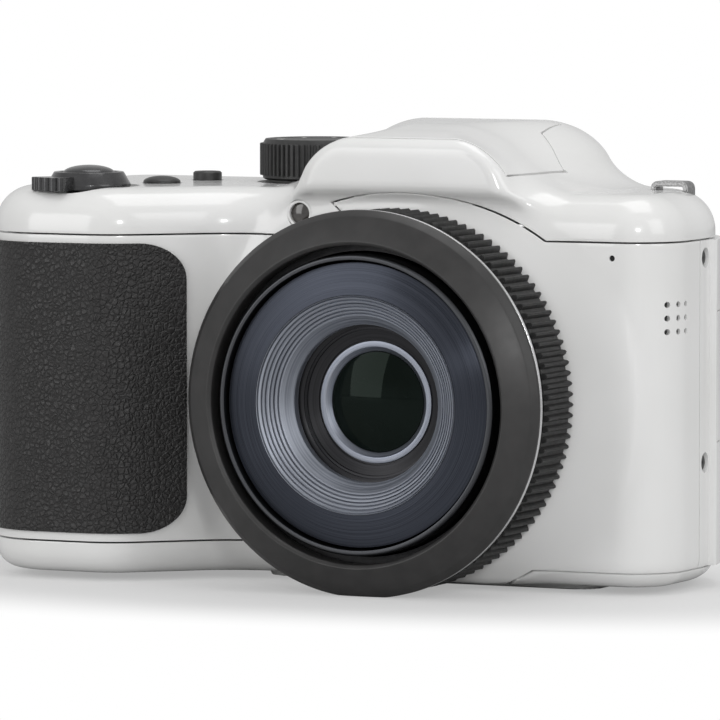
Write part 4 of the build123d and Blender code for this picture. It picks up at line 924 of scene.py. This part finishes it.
# The first element in its black cell, with stepped baffle rings and a grey edge ring
black_anodised = turned_metal("black anodised cell", (0.018, 0.018, 0.020), (0.032, 0.032, 0.036),
                              (0.28, 0.4), 0.3, 0.3, 0.6)
cell = lens_turned("lens_cell_steps", [
    (-35.7, funnel_r), (-35.7, 16.74), (-34.8, 12.8), (-34.6, 12.3), (-34.3, 12.3), (-34.3, 11.9),
    (-33.9, 11.9), (-33.4, 10.2), (-33.1, 10.2), (-33.1, 9.9), (-27.5, 9.9), (-27.5, funnel_r)], 0.05)
dressed(cell, black_anodised, "front_group", "lens_cell", slot_name="dark_metal")
edge_metal = turned_metal("lens edge ring", (0.23, 0.25, 0.30), (0.34, 0.36, 0.41), (0.3, 0.42), 0.3, 0.3)
edge_ring = lens_turned("lens_edge_ring", [(-33.4, 9.9), (-33.4, 9.0), (-32.6, 8.2), (-27.6, 8.2),
                                           (-27.6, 9.9)], 0.06)
dressed(edge_ring, edge_metal, "front_group", slot_name="dark_metal")

coated_glass, tree, surface, place = finish_named("coated glass")
tree.links.new(tinted(tree, speckle(tree, place, 9.0), (0.003, 0.005, 0.004), (0.006, 0.009, 0.008)),
               surface.inputs["Base Color"])
for key, value in (("Roughness", 0.015), ("Transmission Weight", 0.12), ("IOR", 1.2),
                   ("Coat Weight", 0.04), ("Coat Roughness", 0.01),
                   ("Specular Tint", (0.55, 0.85, 0.66, 1.0))):
    surface.inputs[key].default_value = value
bulge, edge_y, back_y, glass_r = 1.3, -32.6, -28.6, 8.1
ball = (glass_r**2 + bulge**2) / (2 * bulge)
front_arc = [(edge_y - bulge + ball - sqrt(ball**2 - r**2), r) for r in np.linspace(0.02, glass_r, 26)]
element = lens_turned("front_glass", front_arc + [(back_y, glass_r), (back_y, 0.02)], 0)
dressed(element, coated_glass, "front_group", "front_element", slot_name="lens_glass")


# THE DECK CONTROLS
# A zoom lever round a domed shutter button, both in gunmetal lacquer, and in black plastic a domed
# burst button, a dished power button and a ribbed dial. Flanges under the deck hold the two small
# buttons, and a spindle holds the dial.
gunmetal = finish_of("gunmetal lacquer", (0.050, 0.050, 0.052), (0.066, 0.066, 0.068), 2.0, (0.22, 0.30),
                     0.55, (0.3, 0.006), 0.4)
key_black = finish_of("moulded key black", (0.028, 0.028, 0.028), (0.036, 0.036, 0.036), 1.5,
                      (0.34, 0.44), bump=(0.3, 0.008))


def deck_turned(name, x, y, profile, radius=0.15):
    return revolved(name, profile, (x, y, 0), "z", 128, radius)


lever_seat, under_deck, dome_edge, dome_r, dome_rise = 63.9, 61.3, 66.3, 4.3, 1.3
collar = deck_turned("lever_collar", lever_x, lever_y, [
    (lever_seat, 4.62), (lever_seat, 6.9), (lever_seat + 0.9, 6.9), (lever_seat + 2.9, 5.75),
    (lever_seat + 2.9, 5.0), (lever_seat + 2.5, 4.62)])
floor_ring = deck_turned("lever_floor", lever_x, lever_y, [
    (under_deck, 2.25), (under_deck, 3.75), (lever_seat, 3.75), (lever_seat, 4.62),
    (lever_seat + 0.7, 4.62), (lever_seat + 0.7, 2.25)])
# The tab's edge: five small ridges for the finger, drawn in at both corners
tab_middle, tab_half, tab_in, tab_out, tab_top = radians(250), radians(24), 5.0, 9.7, 66.1
tab_steps, tab_ridges, ridge_height, corner_steps, corner_drop = 60, 5, 0.5, 5.0, 1.1
outline = [(tab_in * cos(tab_middle + tab_half * s), tab_in * sin(tab_middle + tab_half * s))
           for s in (1, 0, -1)]
for k in range(tab_steps + 1):
    turn = tab_middle + tab_half * (2 * k / tab_steps - 1)
    ridge = ridge_height * abs(sin((k / tab_steps) * tab_ridges * pi)) ** 0.6
    ease = min(1.0, min(k, tab_steps - k) / corner_steps)
    reach = tab_out + ridge - corner_drop * (1 - ease) ** 2
    outline.append((reach * cos(turn), reach * sin(turn)))
outline = [(lever_x + a, lever_y + b) for a, b in outline]
tab = bar("lever_tab", outline, lever_seat, tab_top, "z", 0.18)
lever = merged("zoom_lever_moulding", collar, floor_ring, tab)
dressed(lever, gunmetal, "lever", "zoom_lever", slot_name="dark_metal")

# The shutter's dome on its stem, stretched to the height of the CAD's
dome = [(under_deck, 1.85), (65.5, 1.85), (65.6, dome_r), (dome_edge, dome_r)]
dome += [(dome_edge + dome_rise * cos(a), dome_r * sin(a)) for a in np.linspace(pi / 2, 0.01, 14)[1:]]
dome += [(under_deck, 0.02)]
shutter = deck_turned("shutter_dome", lever_x, lever_y, dome, 0.05)
cad_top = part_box("shutter_button")[1][2] / mm
tall = (cad_top - under_deck) / (dome_edge + dome_rise - under_deck)
for vertex in shutter.data.vertices:
    vertex.co.z = (under_deck + (vertex.co.z / mm - under_deck) * tall) * mm
dressed(shutter, gunmetal, "shutter", "shutter_button", slot_name="dark_metal")

# The two small buttons, each with its flange; heights from the CAD
flange, flange_thick = 0.55, 0.95
for name, body, x, y, reach, node in (("burst_dome", "burst", burst_x, burst_y, burst_r, "burst_button"),
                                      ("power_cap", "power", power_x, power_y, power_r, "power_button")):
    low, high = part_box(node)
    low, top = low[2] / mm, high[2] / mm
    cap = [(low, 0.02), (low, reach + flange), (low + flange_thick, reach + flange),
           (low + flange_thick, reach), (top - 1.0, reach)]
    if node == "burst_button":
        cap += [(top - 1.0 + 1.0 * sin(a), reach * cos(a)) for a in np.linspace(0.1, pi / 2 - 0.01, 12)]
    else:
        cap += [(top - 0.25, reach), (top, reach - 0.3), (top, 1.5), (top - 0.15, 1.3),
                (top - 0.15, 0.02)]
    cap = deck_turned(name, x, y, cap, 0.06)
    dressed(cap, key_black, body, node, slot_name="gloss_black")

# The mode dial: ribs repeated round a turned core whose top is dished
dial_top, dial_reach, dial_ribs, dial_stops = 71.7, 9.5, 60, 8
dial_shoulder, dial_dish = dial_top - 0.75, dial_top - 0.12
dial_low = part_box("mode_dial")[0][2] / mm
dial_black = finish_of("dial black", (0.026, 0.026, 0.026), (0.034, 0.034, 0.034), 1.0, (0.36, 0.46),
                       bump=(0.25, 0.01))
rib_line = ((-0.026, 0.9), (-0.026, 0.18), (-0.012, 0.0), (0.012, 0.0), (0.026, 0.18), (0.026, 0.9))
rib = bar("rib", [(dial_reach * sin(a), dial_reach * cos(a) - d) for a, d in rib_line],
          deck_z + 1.15, dial_shoulder, "z", 0.06)
ribs = round_pattern("dial_ribs", rib, dial_ribs, (dial_x, dial_y, 0), (0, 0, 1), dial_black)
core = deck_turned("dial_core", dial_x, dial_y, [
    (dial_low, 0.02), (dial_low, 1.6), (64.9, 1.6), (64.9, 8.6), (65.2, 9.0), (dial_shoulder, 9.0),
    (dial_top, 8.55), (dial_top, 7.9), (dial_dish, 7.75), (dial_dish, 0.02)], 0.08)
dial = merged("mode_dial_knob", ribs, core)
dressed(dial, dial_black, "dial", "mode_dial", slot_name="gloss_black")

# Marks on the dial: a plain stroke for each stop, printed in pale ink, a hair proud of the dished top
pale_ink = finish_of("pale ink", (0.62, 0.62, 0.60), (0.70, 0.70, 0.68), 0.5, (0.5, 0.6))
stroke = bar("stroke", [(-0.22, 5.9), (0.22, 5.9), (0.22, 7.3), (-0.22, 7.3)],
             dial_top - 0.14, dial_top - 0.09, "z", 0)
marks = round_pattern("dial_marks", stroke, dial_stops, (dial_x, dial_y, 0), (0, 0, 1), pale_ink)
dressed(marks, pale_ink, "dial")

# Strap lugs: flat steel strips bent to staples, their legs through the slots in deck and back
steel = finish_of("brushed steel", (0.26, 0.26, 0.26), (0.40, 0.40, 0.40), 0.35, (0.26, 0.36), 1.0,
                  (0.15, 0.004))


def staple(name, corners, bend=0.9, width=3.4, across=(0.0, 1.0, 0.0), edge=0.2):
    # A flat strip bent round its corners; across is the direction of the strip's width.
    line = np.array(corners, float)
    path = []
    for index, point in enumerate(line):
        if index in (0, len(line) - 1):
            path.append(point)
            continue
        a, b = line[index - 1] - point, line[index + 1] - point
        a, b = point + a / np.linalg.norm(a) * bend, point + b / np.linalg.norm(b) * bend
        for t in np.linspace(0, 1, 7):
            path.append((1 - t) ** 2 * a + 2 * t * (1 - t) * point + t * t * b)
    path = np.array(path)
    ahead = np.gradient(path, axis=0)
    ahead /= np.linalg.norm(ahead, axis=1)[:, None]
    across = np.array(across, float)
    out = np.cross(ahead, across)
    solid = bmesh.new()
    rings = []
    for point, normal in zip(path, out):
        rings.append([solid.verts.new((point + normal * s * lug_bar / 2 + across * t * width / 2) * mm)
                      for s, t in ((1, 1), (1, -1), (-1, -1), (-1, 1))])
    for one, two in zip(rings, rings[1:]):
        for k in range(4):
            solid.faces.new((one[k - 1], one[k], two[k], two[k - 1]))
    solid.faces.new(rings[0])
    solid.faces.new(rings[-1][::-1])
    bmesh.ops.recalc_face_normals(solid, faces=solid.faces)
    sharp = [e for e in solid.edges if len(e.link_faces) == 2 and e.calc_face_angle() > 0.9]
    bmesh.ops.bevel(solid, geom=sharp, offset=edge * mm, segments=3, affect="EDGES", clamp_overlap=True)
    mesh = mesh_of(name, solid)
    shade(mesh, 50)
    return placed(name, mesh)


lug_x, lug_span, lug_top, lug_root = 36.8, 6.6, 66.0, 61.3
lug_low, lug_out, lug_inner = 47.0, -76.0, -71.2
half, crown, outer_x = (lug_span - lug_bar) / 2, lug_top - lug_bar / 2, lug_out + lug_bar / 2
low, high = lug_low + lug_bar / 2, lug_low + lug_span - lug_bar / 2
deck_lug = staple("deck_lug", [(lug_x - half, lug_y, lug_root), (lug_x - half, lug_y, crown),
                               (lug_x + half, lug_y, crown), (lug_x + half, lug_y, lug_root)])
side_lug = staple("side_lug", [(lug_inner, lug_y, low), (outer_x, lug_y, low), (outer_x, lug_y, high),
                               (lug_inner, lug_y, high)])
lugs = merged("strap_lug_staples", deck_lug, side_lug)
dressed(lugs, steel, "body", "strap_lugs", slot_name="steel")

# Focus lamp: a dark domed window in a raised white rim
rim = revolved("lamp_rim", [(-21.95, 1.78), (-21.95, 2.15), (-21.8, 2.3), (-17.5, 2.3), (-17.5, 1.78)],
               (lamp_x, 0, lamp_z), "y", 96, 0.05)
dressed(rim, white_gloss, "body", slot_name="white_shell")
smoked = finish_of("smoked window", (0.045, 0.040, 0.038), (0.060, 0.054, 0.050), 1.2, (0.08, 0.14),
                   coat=1.0, Coat_Roughness=0.03)
lamp_low, lamp_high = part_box("focus_lamp")
front_y, back_y = lamp_low[1] / mm, lamp_high[1] / mm
pane_r, pane_rise = 1.68, 0.32
lamp_dome = [(front_y + pane_rise * (r / pane_r) ** 2, r) for r in np.linspace(0.02, pane_r, 10)]
lamp_glass = revolved("lamp_window", lamp_dome + [(back_y, pane_r), (back_y, 0.02)],
                      (lamp_x, 0, lamp_z), "y", 72, 0)
dressed(lamp_glass, smoked, "body", "focus_lamp", slot_name="window")


# THE FLASH
# The lid's skin carries a hinge barrel and two ribs of the same moulding; a steel pin holds it in
# the housing, and the lamp unit hangs between the ribs.
def round_bar(name, middle, radius, sides, low, high, rounding):
    # A straight round bar along the body's width.
    turns = np.linspace(0, 2 * pi, sides, endpoint=False)
    outline = [(middle[0] + radius * cos(a), middle[1] + radius * sin(a)) for a in turns]
    return bar(name, outline, low, high, "x", rounding)


lid_hinge = (lid_hinge_y, lid_hinge_z)
lid_rib = [(-20.7, 66.9), (-14.0, 66.9), (-14.0, 71.6), (-20.7, 71.3)]
barrel = round_bar("barrel", lid_hinge, 1.25, 40, -12.6, 12.6, 0.1)
rib_left, rib_right = (bar(name, lid_rib, low, low + 1.2, "x", 0.15)
                       for name, low in (("rib_left", -11.0), ("rib_right", 9.8)))
lid_inside = merged("lid_barrel_and_ribs", barrel, rib_left, rib_right)
dressed(lid_inside, white_gloss, "flash", "flash_lid", slot_name="white_shell")

# The hinge pin, short of the housing's sides
hinge = round_bar("flash_pin", lid_hinge, 0.7, 24, -13.6, 13.6, 0.08)
dressed(hinge, steel, "body", "flash_hinge_pin", slot_name="steel")


# THE BACK, THE SIDE AND THE BASE
# A glass-fronted screen, black keys, a rocking pad, pan-head screws, the port flap's pin, and
# under the foot the cell door's latch and the tripod thread.
screen_glass = finish_of("screen glass", (0.010, 0.011, 0.013), (0.014, 0.015, 0.018), 12.0, (0.04, 0.07),
                         coat=1.0, Coat_Roughness=0.02)
panel_black = finish_of("display panel", (0.020, 0.022, 0.028), (0.028, 0.030, 0.038), 6.0, (0.3, 0.4))


def repaint(node, finish):
    # Put a finish on a CAD node that is shown as it is.
    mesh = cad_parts[node].data
    if not mesh.materials:
        mesh.materials.append(finish)
    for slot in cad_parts[node].material_slots:
        slot.material = finish


repaint("screen_window", screen_glass)
repaint("screen_panel", panel_black)

# Keys and the pad with its set button: caps with a shallow dish, and a raised bead on the pad
for node in ("menu_button", "playback_button", "display_button", "delete_button", "record_button"):
    low, high = (np.array(v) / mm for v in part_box(node))
    x, z, foot_y, top_y = (low[0] + high[0]) / 2, (low[2] + high[2]) / 2, low[1], high[1]
    cap = [(foot_y, 0.02), (foot_y, 3.0), (foot_y + 0.75, 3.0), (foot_y + 0.75, key_r),
           (top_y - 0.25, key_r), (top_y, key_r - 0.3), (top_y, 1.9), (top_y - 0.18, 1.2),
           (top_y - 0.22, 0.02)]
    cap = revolved(node + "_cap", cap, (x, 0, z), "y", 72, 0.05)
    dressed(cap, key_black, node.split("_")[0], node, slot_name="gloss_black")
foot_y, top_y = (v[1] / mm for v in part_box("four_way_pad"))
pad = revolved("rocker_ring", [
    (foot_y, 3.2), (foot_y, pad_r), (top_y - 0.3, pad_r), (top_y, 7.0), (top_y, 6.3), (top_y - 0.3, 5.4),
    (top_y - 0.3, 4.4), (top_y - 0.05, 3.7), (top_y - 0.1, 3.25), (top_y - 0.4, 3.2)],
    (pad_x, 0, pad_z), "y", 128, 0.06)
dressed(pad, key_black, "pad", "four_way_pad", slot_name="gloss_black")
pip = revolved("pip", [(top_y - 0.32, 0.02), (top_y - 0.32, 0.42), (top_y - 0.12, 0.3),
                       (top_y - 0.08, 0.02)], (0, 0, 5.0), "y", 24, 0)
pips = round_pattern("rocker_pips", pip, 4, (pad_x, 0, pad_z), (0, 1, 0), pale_ink)
dressed(pips, pale_ink, "pad")
foot_y, top_y = (v[1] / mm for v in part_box("set_button"))
push = revolved("set_cap", [
    (foot_y, 0.02), (foot_y, 2.9), (top_y - 0.25, 2.9), (top_y, 2.6), (top_y, 2.2), (top_y - 0.2, 1.4),
    (top_y - 0.25, 0.02)], (pad_x, 0, pad_z), "y", 96, 0.05)
dressed(push, key_black, "set", "set_button", slot_name="gloss_black")

# Screws: one pan head with a cross recess, set in the side and the foot
screw_steel = finish_of("blackened screw", (0.035, 0.035, 0.035), (0.060, 0.060, 0.060), 0.3,
                        (0.32, 0.42), 0.5, (0.12, 0.004))
recess_long, recess_wide, recess_depth, sunk = 1.9, 0.34, 0.3, 0.02


def screw(name, length=4.6, tip=0.3):
    # Pan head, cross recess and shank along -Z, with the head's top at the origin.
    head = revolved(name, [(0, 0.02), (0.0, 1.0), (-0.15, 1.3), (-0.5, 1.48), (-0.95, 1.5), (-0.95, 0.9),
                           (-length, 0.85), (-length - tip, 0.02)], (0, 0, 0), "z", 48, 0.06)
    solid = bmesh.new()
    solid.from_mesh(head.data)
    for turn in (0, pi / 2):
        for vertex in bmesh.ops.create_cube(solid, size=1.0)["verts"]:
            a, b = vertex.co.x * recess_long, vertex.co.y * recess_wide
            vertex.co = ((a * cos(turn) - b * sin(turn)) * mm, (a * sin(turn) + b * cos(turn)) * mm,
                         (0.012 if vertex.co.z > 0 else -recess_depth) * mm)
    solid.to_mesh(head.data)
    solid.free()
    return head


screw_low, screw_high = (np.array(v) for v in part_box("case_screws"))
side_face, foot_face = screw_high[0] - sunk * mm, screw_low[2] + sunk * mm
heads = []
for z in side_screw_heights:
    heads.append(screw("side_screw"))
    heads[-1].data.transform(Matrix(((0, 0, 1, side_face), (0, 1, 0, side_screw_y * mm),
                                     (-1, 0, 0, z * mm), (0, 0, 0, 1))))
for x, y in foot_screws:
    heads.append(screw("foot_screw"))
    heads[-1].data.transform(Matrix(((1, 0, 0, x * mm), (0, -1, 0, y * mm), (0, 0, -1, foot_face),
                                     (0, 0, 0, 1))))
screws = merged("pan_head_screws", *heads)
dressed(screws, screw_steel, "body", "case_screws", slot_name="steel")

# Black gauze behind the speaker and microphone holes, level with the middle of the wall
gauze = finish_of("sound gauze", (0.008, 0.008, 0.008), (0.020, 0.020, 0.020), 0.12, (0.7, 0.9),
                  bump=(0.1, 0.03))
gauze_r, gauze_near, gauze_far = 0.52, 0.35, 1.5


def disc(start, end, centre, axis):
    outline = [(start, 0.01), (start, gauze_r), (end, gauze_r), (end, 0.01)]
    return revolved("disc", outline, centre, axis, 24, 0)


discs = []
corner_x, corner_y, corner_r = plan_corners[4]
for y in speaker_columns:
    ahead = min(y - corner_y - corner_r, 0)
    wall = corner_x - corner_r + sqrt(max(corner_r**2 - ahead**2, 0))
    for z in speaker_rows:
        discs.append(disc(wall - gauze_far, wall - gauze_near, (0, y, z), "x"))
discs.append(disc(-21.1, -20.0, (mic_x, 0, mic_z), "y"))
dressed(merged("sound_gauze", *discs), gauze, "body")

plated_brass = turned_metal("plated brass", (0.45, 0.45, 0.44), (0.60, 0.60, 0.58), (0.2, 0.3), 0.2, 0.4)
repaint("tripod_socket", plated_brass)
for node, finish in (("door_latch", gunmetal), ("flap_hinge_pin", steel), ("door_hinge_pin", steel)):
    repaint(node, finish)

# Inside the case: boards, cells and the rest each in the finish of the real material
board_green = finish_of("circuit board", (0.012, 0.085, 0.035), (0.020, 0.125, 0.050), 1.6, (0.25, 0.40),
                        bump=(0.4, 0.03))
cell_sleeve = finish_of("cell sleeve", (0.10, 0.11, 0.13), (0.16, 0.17, 0.20), 3.0, (0.22, 0.32), 0.3)
plate_metal = finish_of("sprung plate", (0.52, 0.46, 0.30), (0.66, 0.60, 0.42), 0.8, (0.22, 0.34), 1.0,
                        (0.2, 0.004))
inner_moulding = finish_of("inner moulding", (0.045, 0.045, 0.047), (0.065, 0.065, 0.068), 2.0,
                           (0.48, 0.60), bump=(0.35, 0.02))
card_black = finish_of("card case", (0.020, 0.022, 0.035), (0.032, 0.034, 0.050), 2.5, (0.35, 0.48),
                       bump=(0.3, 0.01))
can_metal = finish_of("tinned can", (0.40, 0.40, 0.42), (0.55, 0.55, 0.56), 0.7, (0.28, 0.4), 1.0,
                      (0.2, 0.006))
mirror = finish_of("reflector", (0.74, 0.74, 0.74), (0.84, 0.84, 0.84), 1.0, (0.08, 0.14), 1.0)
clear = finish_of("clear window", (0.80, 0.80, 0.80), (0.86, 0.86, 0.86), 2.0, (0.05, 0.1),
                  Transmission_Weight=0.85, IOR=1.49)
tube_glass = finish_of("flash tube", (0.70, 0.70, 0.66), (0.80, 0.80, 0.76), 0.8, (0.04, 0.08),
                       Transmission_Weight=0.7)
sensor_face = finish_of("sensor", (0.05, 0.07, 0.09), (0.09, 0.06, 0.10), 1.5, (0.06, 0.12), coat=1.0)
inner_black = finish_of("inner alloy black", (0.012, 0.012, 0.013), (0.022, 0.022, 0.024), 1.4,
                        (0.38, 0.5), 0.4, (0.3, 0.01))
for finish, nodes in (
        (board_green, ("main_board", "key_board", "deck_board")), (cell_sleeve, ("battery_cells",)),
        (plate_metal, ("battery_contacts",)),
        (inner_moulding, ("battery_holder", "card_slot", "pad_plate")),
        (card_black, ("memory_card",)), (can_metal, ("usb_port", "zoom_motor", "microphone", "speaker")),
        (cell_sleeve, ("flash_capacitor",)), (mirror, ("flash_reflector",)), (clear, ("flash_window",)),
        (tube_glass, ("flash_tube",)), (sensor_face, ("image_sensor",)),
        (inner_black, ("lens_chassis", "cam_ring", "rear_group_cell")),
        (coated_glass, ("rear_group_glass",))):
    for node in nodes:
        repaint(node, finish)

# The cell door's hinge knuckle, moulded in one with the door's skin
door_inner = round_bar("door_knuckle", (9.9, 2.1), 1.35, 28, -66.0, -40.5, 0.1)
dressed(door_inner, white_gloss, "cell_door", "battery_door", slot_name="white_shell")


# THE SET
# A plain pale floor, an even pale surround and four soft boxes, with the camera at the
# photograph's angle and focal length.
floor_mesh = bpy.data.meshes.new("floor")
floor_mesh.from_pydata([(-2.5, -2.5, 0), (2.5, -2.5, 0), (2.5, 3.0, 0), (-2.5, 3.0, 0)], [],
                       [(0, 1, 2, 3)])
floor = placed("floor", floor_mesh)
paper, tree, surface, place = finish_named("pale paper")
tree.links.new(tinted(tree, speckle(tree, place, 40.0), (0.62, 0.62, 0.62), (0.64, 0.64, 0.64)),
               surface.inputs["Base Color"])
surface.inputs["Roughness"].default_value = 0.9
bright = wire(tree, "ShaderNodeEmission", Color=(1, 1, 1, 1), Strength=1.0)
rays = tree.nodes.new("ShaderNodeLightPath")
# In the camera's view the floor is white, but in an oval under the body it fades to the lit grey paper: a
# painted shade, in which the body's real shadow also shows
spread = wire(tree, "ShaderNodeMapping", Vector=place, Location=(0.176, 0.21, 0.0),
              Scale=(12.6, 21.0, 0.0))
away = wire(tree, "ShaderNodeVectorMath", {"operation": "LENGTH"}, n0=spread.outputs[0])
edge = wire(tree, "ShaderNodeMapRange", {"interpolation_type": "SMOOTHSTEP"}, Value=away.outputs["Value"],
            From_Min=0.95, From_Max=1.7, To_Min=0.36, To_Max=1.0)
share = wire(tree, "ShaderNodeMath", {"operation": "MULTIPLY"}, n0=rays.outputs["Is Camera Ray"],
             n1=edge.outputs[0])
blend = tree.nodes.new("ShaderNodeMixShader")
tree.links.new(share.outputs[0], blend.inputs[0])
tree.links.new(surface.outputs[0], blend.inputs[1])
tree.links.new(bright.outputs[0], blend.inputs[2])
tree.links.new(blend.outputs[0], tree.nodes["Material Output"].inputs["Surface"])
floor_mesh.materials.append(paper)

world = bpy.data.worlds.new("studio")
bpy.context.scene.world = world
world.use_nodes = True
tree = world.node_tree
seen = tree.nodes.new("ShaderNodeLightPath").outputs["Is Camera Ray"]
glow = wire(tree, "ShaderNodeMapRange", Value=seen, To_Min=0.54, To_Max=1.0)
tree.links.new(glow.outputs["Result"], tree.nodes["Background"].inputs["Strength"])
tree.nodes["Background"].inputs["Color"].default_value = (1, 1, 1, 1)


aim = np.array((0, 0, 0.04))


def soft_box(name, place, size, power):
    # A rectangular lamp turned to the middle of the body.
    lamp = bpy.data.lights.new(name, "AREA")
    lamp.shape = "RECTANGLE"
    lamp.size, lamp.size_y = size
    lamp.energy = power
    holder = placed(name, lamp)
    holder.location = place
    across, along, up = aim - np.array(place)
    holder.rotation_euler = (atan2(np.hypot(across, along), -up), 0, atan2(along, across) - pi / 2)


soft_box("left_box", (-0.50, -0.80, 0.30), (0.45, 0.6), 1.75)
soft_box("right_box", (0.75, -0.25, 0.40), (0.4, 0.6), 1.25)
soft_box("top_box", (0.05, 0.05, 0.75), (0.6, 0.4), 1.35)
soft_box("front_box", (0.62, -1.05, 0.42), (0.16, 0.16), 2.2)

camera_data = bpy.data.cameras.new("camera")
camera = placed("camera", camera_data)
camera.location = (0.5382, -1.1621, 0.1257)
camera.rotation_euler = (radians(85.98), 0, radians(25.61))
camera_data.sensor_width = 36
camera_data.lens = 388.6
camera_data.clip_start, camera_data.clip_end = 0.05, 60
bpy.context.scene.camera = camera
bpy.context.scene.view_settings.view_transform = "Standard"
